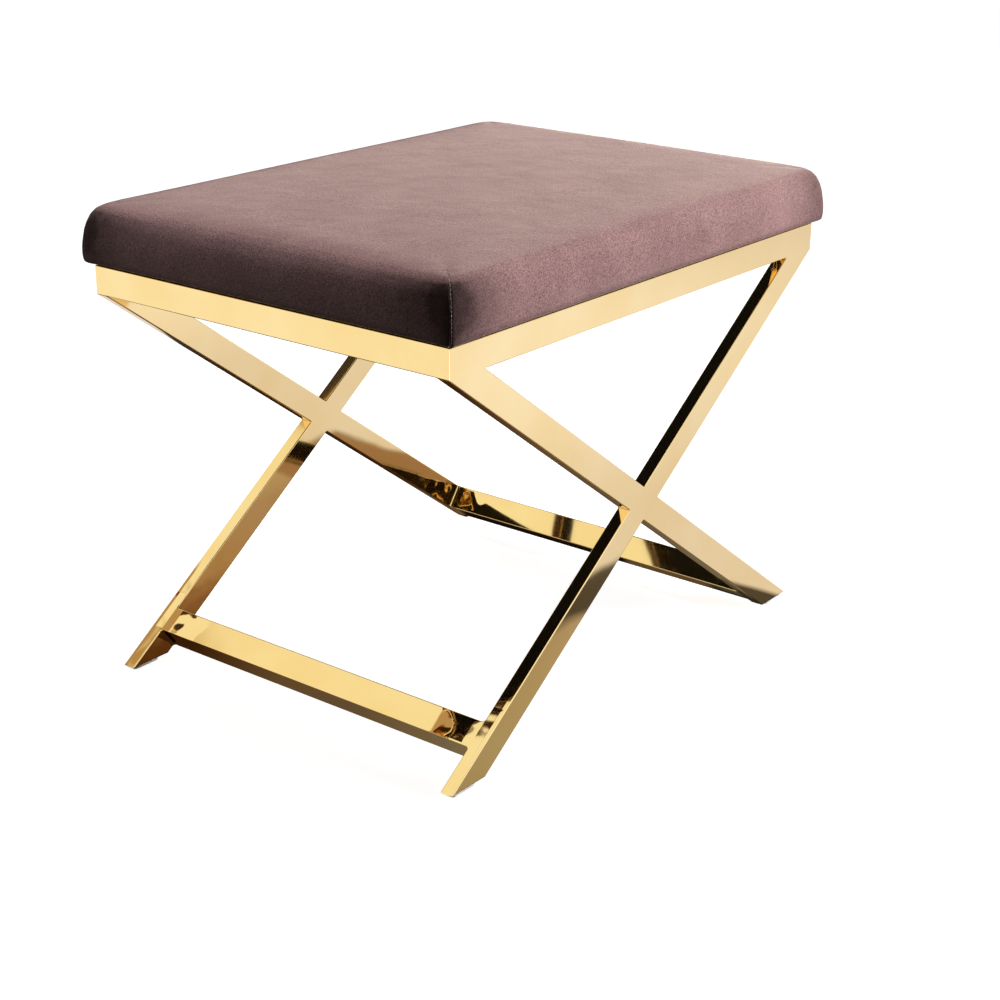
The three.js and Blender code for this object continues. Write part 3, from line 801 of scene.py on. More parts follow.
@dataclass
class WeldedFrame:
    """Two x frames under their long rails, joined by end rails and stretchers, welded and ground flush."""

    edge_radius: float = 1.0 * MM
    edge_steps: int = 3
    edge_angle: float = math.radians(20)
    fillet_radius: float = 3 * MM
    fillet_steps: int = 6
    fillet_margin: float = 0.1 * MM
    gusset_edge: float = 0.4 * MM
    gusset_angle: float = math.radians(50)
    weld_size: float = 2.4 * MM
    weld_ripple: float = 2.4 * MM
    weld_from_end: float = 6 * MM
    weld_sides: int = 8
    # The bead's thickness along one ripple, and at its ends
    weld_crests: tuple[float, ...] = (1.0, 0.93, 0.84, 0.93)
    weld_ends: tuple[float, ...] = (0.45, 0.8, 1.0)

    def __post_init__(self) -> None:
        """Takes the frame's sizes from the CAD nodes."""
        rail_low, rail_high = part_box("rail_front")
        plate_low, plate_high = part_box("foot_plate_front_right")
        self.half_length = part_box("rail_right")[1].x
        self.half_width = -rail_low.y
        self.top = rail_high.z
        self.rail_bottom = rail_low.z
        self.thin = rail_high.y - rail_low.y
        self.deep = rail_high.z - rail_low.z
        self.foot_plane = plate_low.z
        self.foot_reach = plate_high.x
        run = self.half_length + self.foot_reach
        drop = self.rail_bottom - self.foot_plane
        self.slope = math.atan2(drop, run) + math.asin(self.deep / math.hypot(run, drop))
        self.cut_width = self.deep / math.sin(self.slope)

    def stretcher(self) -> Outline:
        """Gives the square section of the right stretcher, whose faces lie flush with the leg's.

        Returns:
            The corners, x and z: below on the outside and on the inside, then above on the inside and
            on the outside.
        """
        low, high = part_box("stretcher_right")
        middle = Vector(((low.x + high.x) / 2, (low.z + high.z) / 2))
        foot = Vector((self.foot_reach - self.cut_width / 2, self.foot_plane))
        uphill = Vector((-math.cos(self.slope), math.sin(self.slope)))
        outward = Vector((uphill.y, -uphill.x))
        middle = foot + uphill * (middle - foot).dot(uphill)
        half, signs = self.deep / 2, ((-1, 1), (-1, -1), (1, -1), (1, 1))
        corners = [middle + uphill * a * half + outward * b * half for a, b in signs]
        return [(corner.x, corner.y) for corner in corners]

    def outlines(self) -> list[tuple[Outline, float]]:
        """Gives the outlines of the lengths of tube, and how far each reaches inwards from the front.

        A leg is made in two lengths that end at the stretcher's corners, so that their faces meet there
        without a step.

        Returns:
            Pairs of an outline of x and z and a length along Y.
        """
        below_out, below_in, above_in, above_out = self.stretcher()
        length, inside_rail = self.half_length, (self.top + self.rail_bottom) / 2
        leg = [
            (-length, self.rail_bottom),
            (-length, inside_rail),
            (self.cut_width - length, inside_rail),
            (self.cut_width - length, self.rail_bottom),
            above_out,
            above_in,
        ]
        foot = [below_out, (self.foot_reach, self.foot_plane)]
        foot += [(self.foot_reach - self.cut_width, self.foot_plane), below_in]
        rail = [(-length, self.rail_bottom), (length, self.rail_bottom)]
        rail += [(length, self.top), (-length, self.top)]
        made = [(rail, self.thin)]
        for side in (1, -1):
            made += [([(x * side, z) for x, z in outline], self.thin) for outline in (leg, foot)]
        return made

    def solids(self) -> list[bpy.types.Object]:
        """Makes the lengths of tube as plain prisms that overlap or touch."""
        length, width, thin = self.half_length, self.half_width, self.thin
        made = []
        for near in (-width, width - thin):
            made += [extruded("member", outline, near, near + deep) for outline, deep in self.outlines()]
        reach = width - thin / 2
        for side in (-1, 1):
            low, high = sorted((side * length, side * (length - thin)))
            end_rail = [(low, self.rail_bottom), (high, self.rail_bottom), (high, self.top), (low, self.top)]
            made.append(extruded("member", end_rail, -reach, reach))
            made.append(extruded("member", [(side * x, z) for x, z in self.stretcher()], -width, width))
        return made

    def fill_welds(self, piece: bpy.types.Object) -> None:
        """Fills the corners between the stretchers and the legs with ground fillet welds.

        Args:
            piece: The frame with sharp edges.
        """
        inner, top = self.half_width - self.thin, self.stretcher()[3][1] + self.deep

        def at_weld(vert: bmesh.types.BMVert) -> bool:
            """Says whether a point lies on a leg's inner face at the height of the stretchers."""
            return abs(abs(vert.co.y) - inner) < self.fillet_margin and self.foot_plane < vert.co.z < top

        with reworked(piece.data) as work:
            edges = [
                edge for edge in work.edges
                if all(at_weld(vert) for vert in edge.verts)
                and edge.calc_length() < self.deep * 1.1
                and not edge.is_convex
            ]
            log.info("welded_frame: %d fillet welds", len(edges))
            bmesh.ops.bevel(
                work, geom=edges, offset=self.fillet_radius, offset_type="OFFSET",
                segments=self.fillet_steps, profile=0.5, affect="EDGES",
            )

    def build_tubes(self) -> bpy.types.Object:
        """Makes the welded tubes as one piece."""
        first, *others = self.solids()
        piece = combine(first, others, "UNION")
        piece.name = piece.data.name = "welded_frame"
        merge_flats(piece)
        self.fill_welds(piece)
        round_edges(piece, self.edge_radius, self.edge_steps, self.edge_angle)
        names = ["rail_front", "rail_back", "rail_left", "rail_right", "stretcher_left", "stretcher_right"]
        names += [f"{side}_{bar}_bar" for side in ("front", "back") for bar in ("long", "upper", "lower")]
        names += [f"foot_plate_{corner.label}" for corner in Corner]
        return settle(piece, GoldVapourCoatedSteel(), Slot.GOLD_STEEL, *names)

    def build_weld(self, corner: Corner) -> None:
        """Lays the rippled bead that joins a gusset to both rails, on its underside.

        Args:
            corner: The gusset's corner.
        """
        sx, sy = corner.value
        low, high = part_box(f"seat_gusset_{corner.label}")
        per_ripple, last_end = len(self.weld_crests), len(self.weld_ends) - 1
        steps = int((high.x - low.x - 2 * self.weld_from_end) / self.weld_ripple * per_ripple)
        start = Vector((sx * (self.half_length - self.thin), sy * (self.half_width - self.thin), low.z))
        inwards = Vector((-sx, 0, 0)), Vector((0, -sy, 0))

        def build(work: bmesh.types.BMesh) -> None:
            """Fills the bmesh with one bead along each leg of the gusset."""
            for along, inward in (inwards, inwards[::-1]):
                ways = [inward * math.cos(a) + Vector((0, 0, math.sin(a))) for a in angles(self.weld_sides)]
                rings = []
                for step in range(steps + 1):
                    middle = start + along * (self.weld_from_end + step * self.weld_ripple / per_ripple)
                    share = self.weld_ends[min(step, steps - step, last_end)]
                    radius = self.weld_size * self.weld_crests[step % per_ripple] * share
                    rings.append([work.verts.new(middle + radius * way) for way in ways])
                band(work, rings)
                work.faces.new(rings[0])
                work.faces.new(rings[-1])

        bead = new_object(f"gusset_weld_{corner.label}", mesh_of(f"gusset_weld_{corner.label}", build))
        shade_smooth(bead)
        add_modifier(bead, "SUBSURF", levels=1, render_levels=1)
        settle(applied(bead), GoldVapourCoatedSteel(), Slot.GOLD_STEEL)

    def build(self) -> None:
        """Makes the frame's pieces."""
        self.build_tubes()
        for corner in Corner:
            gusset = dress_node(f"seat_gusset_{corner.label}", GoldVapourCoatedSteel())
            round_edges(gusset, self.gusset_edge, 2, self.gusset_angle)
            self.build_weld(corner)


@dataclass
class Glides:
    """The pale pads pressed into the feet."""

    edge_radius: float = 0.6 * MM
    edge_steps: int = 3
    edge_angle: float = math.radians(50)

    def build(self) -> None:
        """Dresses the glides and eases their edges."""
        for corner in Corner:
            glide = dress_node(f"glide_{corner.label}", MouldedNylon())
            round_edges(glide, self.edge_radius, self.edge_steps, self.edge_angle)


@dataclass
class SeatFixings:
    """The screws, washers and T-nuts that hold the pad."""

    steps: int = 48
    edge_radius: float = 0.12 * MM
    edge_angle: float = math.radians(35)
    screw_radius: float = 3 * MM
    tip_chamfer: float = 0.8 * MM
    head_height: float = 3.6 * MM
    head_round: float = 2.2 * MM
    head_steps: int = 6
    head_bulge: float = 0.5 * MM
    head_chamfer: float = 0.1 * MM
    recess_width: float = 1.25 * MM
    recess_length: float = 6.2 * MM
    recess_depth: float = 2.2 * MM
    recess_overrun: float = 1 * MM
    recess_taper: float = 0.55
    washer_ease: float = 0.25 * MM
    washer_gap: float = 0.2 * MM

    def screw(self, corner: Corner) -> None:
        """Makes a pan head screw with a cross recess, pointing up.

        Args:
            corner: The screw's corner.
        """
        low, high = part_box(f"seat_screw_{corner.label}")
        head, shank, tip, ease = (high.x - low.x) / 2, self.screw_radius, self.tip_chamfer, self.head_chamfer
        profile: Outline = [(0, low.z)]
        for angle in quarter(self.head_steps):
            radius = head - self.head_round * (1 - math.sin(angle))
            profile.append((radius, low.z + self.head_bulge + self.head_round * (1 - math.cos(angle))))
        seat = low.z + self.head_height
        profile += [(head, seat - ease), (head - ease, seat), (shank, seat), (shank, high.z - tip)]
        profile += [(shank - tip, high.z), (0, high.z)]
        piece = turned(f"seat_screw_{corner.label}_m6", profile, self.steps)
        arms = []
        half = self.recess_length / 2, self.recess_width / 2
        for x, y in (half, half[::-1]):
            arm = boxed("recess", (-x, -y, low.z - self.recess_overrun), (x, y, low.z + self.recess_depth))
            for vert in arm.data.vertices:
                if vert.co.z > low.z:
                    vert.co.xy *= self.recess_taper
            arms.append(arm)
        combine(piece, arms, "DIFFERENCE")
        piece.data.transform(Matrix.Translation(((low.x + high.x) / 2, (low.y + high.y) / 2, 0)))
        round_edges(piece, self.edge_radius, 2, self.edge_angle)
        settle(applied(piece), ZincPlatedSteel(), Slot.ZINC_STEEL, f"seat_screw_{corner.label}")

    def washer(self, corner: Corner) -> None:
        """Makes a stamped washer with eased edges.

        Args:
            corner: The washer's corner.
        """
        low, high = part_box(f"seat_washer_{corner.label}")
        rim, bore, ease = (high.x - low.x) / 2, self.screw_radius + self.washer_gap, self.washer_ease
        profile: Outline = [
            (bore, low.z + ease), (bore + ease, low.z), (rim - ease, low.z), (rim, low.z + ease),
            (rim, high.z - ease), (rim - ease, high.z), (bore + ease, high.z), (bore, high.z - ease),
        ]
        piece = turned(f"seat_washer_{corner.label}_m6", profile, self.steps)
        piece.data.transform(Matrix.Translation(((low.x + high.x) / 2, (low.y + high.y) / 2, 0)))
        shade_smooth(piece)
        add_modifier(piece, "WEIGHTED_NORMAL", weight=100, keep_sharp=False)
        settle(applied(piece), ZincPlatedSteel(), Slot.ZINC_STEEL, f"seat_washer_{corner.label}")

    def build(self) -> None:
        """Makes the fixings."""
        for corner in Corner:
            self.screw(corner)
            self.washer(corner)
            dress_node(f"seat_tnut_{corner.label}", ZincPlatedSteel())


@dataclass
class DustCloth:
    """The black cloth that is stapled over the board's underside, inside the rails."""

    cell: float = 4 * MM
    thick: float = 0.3 * MM
    drop: float = 0.35 * MM
    sag: float = 2.4 * MM
    hole_radius: float = 5 * MM
    # The mesh is finer round a hole, and the points nearer than the rim form its edge.
    fine_radius: float = 11 * MM
    rim_radius: float = 9 * MM
    staple_inset: float = 3.0 * MM
    staple_from_end: float = 14 * MM
    staple_pitch: float = 38 * MM
    staple_lean: float = math.radians(14)
    # How fast the lean changes from one staple to the next, in turns a metre
    staple_unevenness: float = 37
    staple_crown: float = 10 * MM
    staple_leg: float = 1.3 * MM
    staple_wire: float = 0.55 * MM
    # The wire is flat: its width is this much more than its thickness, and the crown sinks in a little.
    wire_flatness: float = 1.6
    staple_sink: float = 0.45
    wire_edge: float = 0.12 * MM
    wire_edge_angle: float = math.radians(40)
    pucker: float = 0.35 * MM
    pucker_reach: float = 20 * MM
    ripple: float = 0.25 * MM
    ripple_length: float = 55 * MM
    ripple_from_edge: float = 30 * MM

    def __post_init__(self) -> None:
        """Takes the cloth's sizes from the CAD node."""
        low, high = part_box("dust_cover")
        self.half_x, self.half_y, self.top = high.x, high.y, high.z

    def staple_places(self) -> list[tuple[Vector, Vector]]:
        """Gives each staple's middle and the direction that its crown lies in."""
        places = []
        for half_along, half_across, along, across in (
            (self.half_x, self.half_y, Vector((1, 0, 0)), Vector((0, 1, 0))),
            (self.half_y, self.half_x, Vector((0, 1, 0)), Vector((1, 0, 0))),
        ):
            run, aside = half_along - self.staple_from_end, half_across - self.staple_inset
            count = round(2 * run / self.staple_pitch)
            for side in (-1, 1):
                for i in range(count + 1):
                    offset = along * (run * (2 * i / count - 1)) + across * side * aside
                    lean = self.staple_lean * noise.noise(offset * self.staple_unevenness)
                    places.append((offset, along * math.cos(lean) + across * math.sin(lean)))
        return places

    def hang(self, x: float, y: float) -> float:
        """Gives the height of the cloth's upper face at a place.

        Args:
            x: The place along the seat.
            y: The place across it.

        Returns:
            The height.
        """
        u, v = x / self.half_x, y / self.half_y
        belly = self.sag * (1 - u * u) * (1 - v * v)
        edge = min(self.half_x - abs(x), self.half_y - abs(y))
        run = x if self.half_y - abs(y) < self.half_x - abs(x) else y
        between = (1 - math.cos(2 * math.pi * run / self.staple_pitch)) / 2
        scallop = self.pucker * between * math.exp(-edge / self.pucker_reach)
        ripple = self.ripple * noise.noise(Vector((x, y, 0)) / self.ripple_length)
        return self.top - self.drop - belly - scallop - ripple * min(edge / self.ripple_from_edge, 1)

    def build_cloth(self) -> None:
        """Makes the cloth with round holes for the screws."""
        columns, rows = round(2 * self.half_x / self.cell), round(2 * self.half_y / self.cell)
        screws = [sum(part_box(f"seat_screw_{corner.label}"), Vector()) / 2 for corner in Corner]

        def build(work: bmesh.types.BMesh) -> None:
            """Fills the bmesh with the cloth, still flat."""
            bmesh.ops.create_grid(work, x_segments=columns, y_segments=rows, size=1)
            for vert in work.verts:
                vert.co = Vector((vert.co.x * self.half_x, vert.co.y * self.half_y, 0))
            for screw in screws:
                middle = Vector((screw.x, screw.y, 0))
                near = [v for v in work.verts if (v.co - middle).length < self.fine_radius]
                edges = {e for v in near for e in v.link_edges}
                bmesh.ops.subdivide_edges(work, edges=list(edges), cuts=3, use_grid_fill=True)
                inner = [v for v in work.verts if (v.co - middle).length < self.hole_radius]
                bmesh.ops.delete(work, geom=inner, context="VERTS")
                for vert in {v for e in work.edges if e.is_boundary for v in e.verts}:
                    offset = vert.co - middle
                    if offset.length < self.rim_radius:
                        vert.co = middle + offset.normalized() * self.hole_radius
            for vert in work.verts:
                vert.co.z = self.hang(vert.co.x, vert.co.y)

        cloth = new_object("underside_cloth", mesh_of("underside_cloth", build))
        shade_smooth(cloth)
        add_modifier(cloth, "SOLIDIFY", thickness=self.thick, offset=-1)
        settle(applied(cloth), SpunbondedCloth(), Slot.DUST_CLOTH, "dust_cover")

    def build_staples(self) -> None:
        """Drives the staples that hold the cloth."""
        wire, reach = self.staple_wire, self.staple_crown / 2
        up = Vector((0, 0, 1))

        def build(work: bmesh.types.BMesh) -> None:
            """Fills the bmesh with every staple: a flat crown that turns up into two legs."""
            for place, along in self.staple_places():
                across = Vector((-along.y, along.x, 0))
                height = self.hang(place.x, place.y) - self.thick - wire * self.staple_sink
                base = Vector((place.x, place.y, height))
                path = [(-reach, self.staple_leg), (-reach, 0.5 * wire), (-reach + 0.5 * wire, 0.0)]
                path += [(-x, z) for x, z in reversed(path)]
                rings = []
                for k, (x, z) in enumerate(path):
                    tilt = (0, 1, 2, 2, 1, 0)[k] * math.pi / 4
                    side = -1 if k < 3 else 1
                    normal = along * side * math.cos(tilt) - up * math.sin(tilt)
                    centre = base + along * x + up * z
                    rings.append([
                        work.verts.new(centre + wire / 2 * (a * normal + b * self.wire_flatness * across))
                        for a, b in ((1, 1), (1, -1), (-1, -1), (-1, 1))
                    ])
                for below, above in zip(rings, rings[1:]):
                    flip = (below[0].co - above[0].co).length > (below[0].co - above[2].co).length
                    order = [1, 0, 3, 2] if flip else [0, 1, 2, 3]
                    band(work, [below, [above[i] for i in order]])
                work.faces.new(rings[0])
                work.faces.new(rings[-1])

        piece = new_object("underside_staples", mesh_of("underside_staples", build))
        round_edges(piece, self.wire_edge, 2, self.wire_edge_angle)
        settle(applied(piece), ZincPlatedSteel(), Slot.ZINC_STEEL)

    def build(self) -> None:
        """Makes the cloth and its staples."""
        self.build_cloth()
        self.build_staples()


@dataclass
class VelvetPad:
    """The upholstered pad: velvet over wadding, over foam, on a board.

    Its skin is one closed form, blown up as the stuffing does, and every layer is taken from it.
    """

    corner_radius: float = 7 * MM
    top_corner_radius: float = 14 * MM
    # How far a corner stands out below and is drawn in above, and the shares of the pad's height between.
    ear: float = 2.2 * MM
    ear_drawn: float = 1.8 * MM
    ear_width: float = 16 * MM
    ear_heights: tuple[float, float] = (0.1, 0.65)
    corner_steps: int = 6
    roll_steps: int = 4
    side_steps: int = 4
    round_steps: int = 12
    top_shares: tuple[float, ...] = (0.95, 0.9, 0.8, 0.65, 0.5, 0.35, 0.2, 0.08)
    roll_radius: float = 5 * MM
    edge_lift: float = 1.2 * MM
    lift_inset: float = 12 * MM
    round_height: float = 28 * MM
    bulge: float = 2.2 * MM
    start_inset: float = 1.0 * MM
    crown: float = 6.5 * MM
    start_crown: float = 3.2 * MM
    start_round_depth: float = 14 * MM
    voxel: float = 4 * MM
    pressure: float = 0.5
    stiffness: float = 100
    frames: int = 20
    cap: float = 5 * MM
    velvet_thick: float = 0.9 * MM
    wadding_depth: float = 2.1 * MM
    wadding_thick: float = 1.9 * MM
    foam_depth: float = 4.4 * MM
    hem_past_rail: float = 7 * MM
    # What lies this little above the underside belongs to it, and the staples hold it this far up.
    underside: float = 0.5 * MM
    held_height: float = 1 * MM
    seam_depth: float = 0.45 * MM
    seam_width: float = 0.5 * MM
    seam_top_share: float = 1.02
    seam_fade: float = 7 * MM
    # The seam allowance inside lifts a lip on each side of the seam.
    lip_height: float = 0.3 * MM
    lip_place: float = 2.0 * MM
    lip_width: float = 1.3 * MM
    # The faces near a seam are cut along it, this many millimetres from it, so that it shows.
    seam_cuts: tuple[float, ...] = (-3.2, -2.2, -1.4, -0.8, -0.4, 0.0, 0.4, 0.8, 1.4, 2.2, 3.2)
    cut_reach: float = 12 * MM
    drawn_reach: float = 60 * MM
    drawn_inwards: float = 24 * MM
    # Folds that run from a seam into the side: how high each starts, as a share of the pad's height,
    # and how steeply it rises away from the seam.
    pulls: tuple[tuple[float, float], ...] = ((0.74, -0.25), (0.4, 0.35))
    pull_depth: float = 2.0 * MM
    pull_reach: float = 16 * MM
    pull_width: float = 5.5 * MM
    pull_start: float = 9 * MM
    stitch_length: float = 2.4 * MM
    stitch_gap: float = 0.5 * MM
    thread_radius: float = 0.25 * MM
    thread_aside: float = 0.35 * MM
    thread_below_top: float = 4 * MM
    # The place of each stitch is looked for from this far outside the pad.
    search_from: float = 60 * MM

    def __post_init__(self) -> None:
        """Takes the pad's sizes from the CAD nodes."""
        low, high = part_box("seat_cover")
        self.half_x, self.half_y = high.x - self.bulge, high.y - self.bulge
        self.bottom, self.top = low.z, high.z
        self.edge_top = self.top - self.crown
        self.edge_height = self.edge_top - self.bottom
        self.foam_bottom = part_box("seat_foam")[0].z
        self.hem_x = -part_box("rail_left")[1].x - self.hem_past_rail
        self.hem_y = -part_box("rail_front")[1].y - self.hem_past_rail

    def ring(self, inset: float, radius: float, z: float, share: float = 1.0) -> list[Vector]:
        """Gives one level outline of the pad.

        Args:
            inset: How far it lies inside the pad's widest outline without its bulge.
            radius: The radius of its corners.
            z: Its height.
            share: How far it is drawn in towards the middle.

        Returns:
            The points, anticlockwise from above.
        """
        points = []
        for turn, (sx, sy) in enumerate([(1, 1), (-1, 1), (-1, -1), (1, -1)]):
            middle = Vector((sx * (self.half_x - inset - radius), sy * (self.half_y - inset - radius), 0))
            for step in range(self.corner_steps + 1):
                angle = (turn + step / self.corner_steps) * math.pi / 2
                point = middle + radius * Vector((math.cos(angle), math.sin(angle), 0))
                points.append(point * share + Vector((0, 0, z)))
        return points

    def swell(self, height: float) -> float:
        """Gives how far the side bulges at a height above the pad's underside."""
        return self.bulge * math.sin(math.pi * height / self.edge_height)

    def rings(self) -> list[list[Vector]]:
        """Gives the outlines of the pad before it is inflated, from its underside up."""
        inset, roll = self.start_inset, self.roll_radius
        widest, low = inset - self.swell(roll), self.bottom + self.edge_lift
        made = [self.ring(widest + self.lift_inset, self.corner_radius - roll, self.bottom)]
        for angle in quarter(self.roll_steps):
            tuck = roll * (1 - math.sin(angle))
            z = low + (roll - self.edge_lift) * (1 - math.cos(angle))
            made.append(self.ring(widest + tuck, self.corner_radius - tuck, z))
        start = self.edge_height - self.round_height
        for step in range(1, self.side_steps):
            height = roll + (start - roll) * step / self.side_steps
            made.append(self.ring(inset - self.swell(height), self.corner_radius, self.bottom + height))
        for angle in quarter(self.round_steps):
            drawn = 1 - math.cos(angle)
            across = inset - self.swell(start) + self.start_round_depth * drawn
            radius = self.corner_radius + (self.top_corner_radius - self.corner_radius) * drawn
            z = self.bottom + start + (self.round_height - inset) * math.sin(angle)
            made.append(self.ring(across, radius, z))
        across = inset - self.swell(start) + self.start_round_depth
        for share in self.top_shares:
            z = self.edge_top - inset + self.start_crown * (1 - share * share)
            made.append(self.ring(across, self.top_corner_radius, z, share))
        return made

    def start_form(self) -> bpy.types.Object:
        """Makes the closed form that is inflated, with faces of one size."""

        def build(work: bmesh.types.BMesh) -> None:
            """Fills the bmesh with the rings and closes both ends."""
            rings = [[work.verts.new(p) for p in ring] for ring in self.rings()]
            band(work, rings)
            work.faces.new(rings[0])
            work.faces.new(rings[-1])

        form = new_object("pad_skin", mesh_of("pad_skin", build))
        add_modifier(form, "REMESH", mode="VOXEL", voxel_size=self.voxel)
        return applied(form)

    def inflate(self, form: bpy.types.Object) -> None:
        """Blows the skin up round its stuffing, with its underside held to the board.

        Args:
            form: The closed form, which gets the inflated shape.
        """
        start = np.array([v.co for v in form.data.vertices])
        stapled = form.vertex_groups.new(name="stapled")
        held = self.bottom + self.edge_lift + self.held_height
        stapled.add([i for i, p in enumerate(start) if p[2] < held], 1.0, "REPLACE")
        cloth = form.modifiers.new("inflate", "CLOTH")
        settings = cloth.settings
        settings.quality = 6
        settings.mass = 0.3
        settings.tension_stiffness = settings.compression_stiffness = self.stiffness
        settings.shear_stiffness = 8
        settings.bending_stiffness = 1.5
        settings.use_pressure = True
        settings.uniform_pressure_force = self.pressure
        settings.effector_weights.gravity = 0
        settings.vertex_group_mass = stapled.name
        cloth.collision_settings.use_collision = False
        cloth.point_cache.frame_start, cloth.point_cache.frame_end = 1, self.frames
        scene = bpy.context.scene
        for step in range(1, self.frames + 1):
            scene.frame_set(step)
        graph = bpy.context.evaluated_depsgraph_get()
        ended = np.array([v.co for v in form.evaluated_get(graph).data.vertices])
        form.modifiers.clear()
        scene.frame_set(1)
        moved = ended - start
        length = np.linalg.norm(moved, axis=1, keepdims=True)
        shorter = self.cap * np.tanh(length / self.cap) / np.maximum(length, 1e-9)
        most, capped = length.max() / MM, (length * shorter).max() / MM
        log.info("pad: moved %.1f mm at most, %.1f mm after the cap", most, capped)
        form.data.vertices.foreach_set("co", (start + moved * shorter).astype(np.float32).ravel())
        form.vertex_groups.clear()
        form.data.update()

    def layer(
        self, skin: bpy.types.Object, name: str, depth: float, cut: float, close: bool
    ) -> bpy.types.Object:
        """Makes a layer of stuffing that lies inside the skin and is cut off level below.

        Args:
            skin: The closed skin.
            name: The layer's name.
            depth: How far its outer face lies inside the skin.
            cut: The height of its lower edge.
            close: Whether the cut is closed by a face.

        Returns:
            The layer.
        """
        mesh = bpy.data.meshes.new(name)
        with reworked(skin.data, mesh) as work:
            work.normal_update()
            for vert in work.verts:
                vert.co -= vert.normal * depth
            result = bmesh.ops.bisect_plane(
                work, geom=[*work.verts, *work.edges, *work.faces], plane_co=(0, 0, cut), plane_no=(0, 0, 1),
                clear_inner=True,
            )
            if close:
                edges = [e for e in result["geom_cut"] if isinstance(e, bmesh.types.BMEdge)]
                bmesh.ops.edgeloop_fill(work, edges=edges)
                bmesh.ops.recalc_face_normals(work, faces=work.faces)
        made = new_object(name, mesh)
        shade_smooth(made)
        return made

    def build_stuffing(self, skin: bpy.types.Object) -> None:
        """Makes the wadding and the foam under the velvet.

        Args:
            skin: The closed skin.
        """
        wadding = self.layer(skin, "wadding", self.wadding_depth, self.bottom + self.roll_radius, False)
        add_modifier(wadding, "SOLIDIFY", thickness=self.wadding_thick, offset=-1)
        settle(applied(wadding), PolyesterWadding(), Slot.WADDING, "seat_wadding")
        foam = self.layer(skin, "foam", self.foam_depth, self.foam_bottom, True)
        settle(foam, PolyurethaneFoam(), Slot.FOAM, "seat_foam")

    def open_below(self, work: bmesh.types.BMesh) -> None:
        """Cuts the velvet away under the board, inside its hem."""
        lowest = self.bottom + self.underside
        for reach, way in ((self.hem_x, Vector((1, 0, 0))), (self.hem_y, Vector((0, 1, 0)))):
            for side in (-1, 1):
                geom = whole([f for f in work.faces if f.calc_center_median().z < lowest])
                place = way * side * reach
                bmesh.ops.bisect_plane(work, geom=geom, plane_co=place, plane_no=way, dist=SAME_PLACE)
        middles = {f: f.calc_center_median() for f in work.faces}
        inside = [
            f for f, m in middles.items()
            if m.z < lowest and abs(m.x) < self.hem_x and abs(m.y) < self.hem_y
        ]
        bmesh.ops.delete(work, geom=inside, context="FACES")

    def sew_corner(self, work: bmesh.types.BMesh, corner: Corner) -> None:
        """Draws in the dart that is sewn up a corner, with the cloth pulled a little round it.

        Args:
            work: The velvet's mesh.
            corner: The corner.
        """
        seam_top = self.bottom + self.edge_height * self.seam_top_share
        axis, out, across = self.corner_frame(corner)

        def near(point: Vector, reach: float) -> bool:
            """Says whether a point lies close round the corner."""
            offset = Vector((point.x, point.y, 0)) - axis
            return abs(offset.dot(across)) < reach and offset.dot(out) > -self.drawn_inwards

        for shift in self.seam_cuts:
            geom = whole([f for f in work.faces if near(f.calc_center_median(), self.cut_reach)])
            place = axis + across * shift * MM
            bmesh.ops.bisect_plane(work, geom=geom, plane_co=place, plane_no=across, dist=2 * SAME_PLACE)
        work.normal_update()
        lowest = self.bottom + self.underside
        for vert in [v for v in work.verts if near(v.co, self.drawn_reach) and v.co.z > lowest]:
            offset = (Vector((vert.co.x, vert.co.y, 0)) - axis).dot(across)
            fade = min(max((seam_top - vert.co.z) / self.seam_fade, 0), 1)
            groove = math.exp(-((offset / self.seam_width) ** 2))
            lip = math.exp(-(((abs(offset) - self.lip_place) / self.lip_width) ** 2))
            sink = fade * (self.seam_depth * groove - self.lip_height * lip)
            sink += self.pull_depth * self.pull(abs(offset), vert.co.z - self.bottom)
            vert.co -= vert.normal * sink
            # The seam's inlay stiffens the corner, which stands out a little below.
            low, high = self.ear_heights
            share = min(max(((vert.co.z - self.bottom) / self.edge_height - low) / (high - low), 0), 1)
            step = share * share * (3 - 2 * share)
            stand = self.ear - (self.ear + self.ear_drawn) * step
            vert.co += out * stand * math.exp(-((offset / self.ear_width) ** 2))

    def pull(self, offset: float, height: float) -> float:
        """Gives how deep the folds round a seam are at a place, from 0 to about 1.

        Args:
            offset: How far the place lies from the seam.
            height: How high it lies above the pad's underside.

        Returns:
            The depth as a share of the deepest.
        """
        depth = 0.0
        for share, rise in self.pulls:
            middle = share * self.edge_height + rise * offset
            depth += math.exp(-(((height - middle) / self.pull_width) ** 2))
        start = 1 - math.exp(-((offset / self.pull_start) ** 2))
        return depth * start * math.exp(-offset / self.pull_reach)

    def corner_frame(self, corner: Corner) -> tuple[Vector, Vector, Vector]:
        """Gives the axis of a corner's rounding, the way out of the pad there and the way across.

        Args:
            corner: The corner.

        Returns:
            A point on the axis, the direction out and the direction across.
        """
        sx, sy = corner.value
        out = Vector((sx, sy, 0)).normalized()
        axis = Vector((sx * (self.half_x - self.corner_radius), sy * (self.half_y - self.corner_radius), 0))
        return axis, out, Vector((-out.y, out.x, 0))

    def build_velvet(self, skin: bpy.types.Object) -> bpy.types.Object:
        """Makes the velvet cover, turned under the board.

        Args:
            skin: The closed skin, with its final faces.

        Returns:
            The cover.
        """
        mesh = bpy.data.meshes.new("velvet_cover")
        with reworked(skin.data, mesh) as work:
            self.open_below(work)
            for corner in Corner:
                self.sew_corner(work, corner)
            bmesh.ops.triangulate(work, faces=[f for f in work.faces if len(f.verts) > 4])
        cover = new_object("velvet_cover", mesh)
        shade_smooth(cover)
        add_modifier(cover, "SOLIDIFY", thickness=self.velvet_thick, offset=-1)
        settle(applied(cover), PolyesterVelvet(), Slot.VELVET, "seat_cover")
        return cover

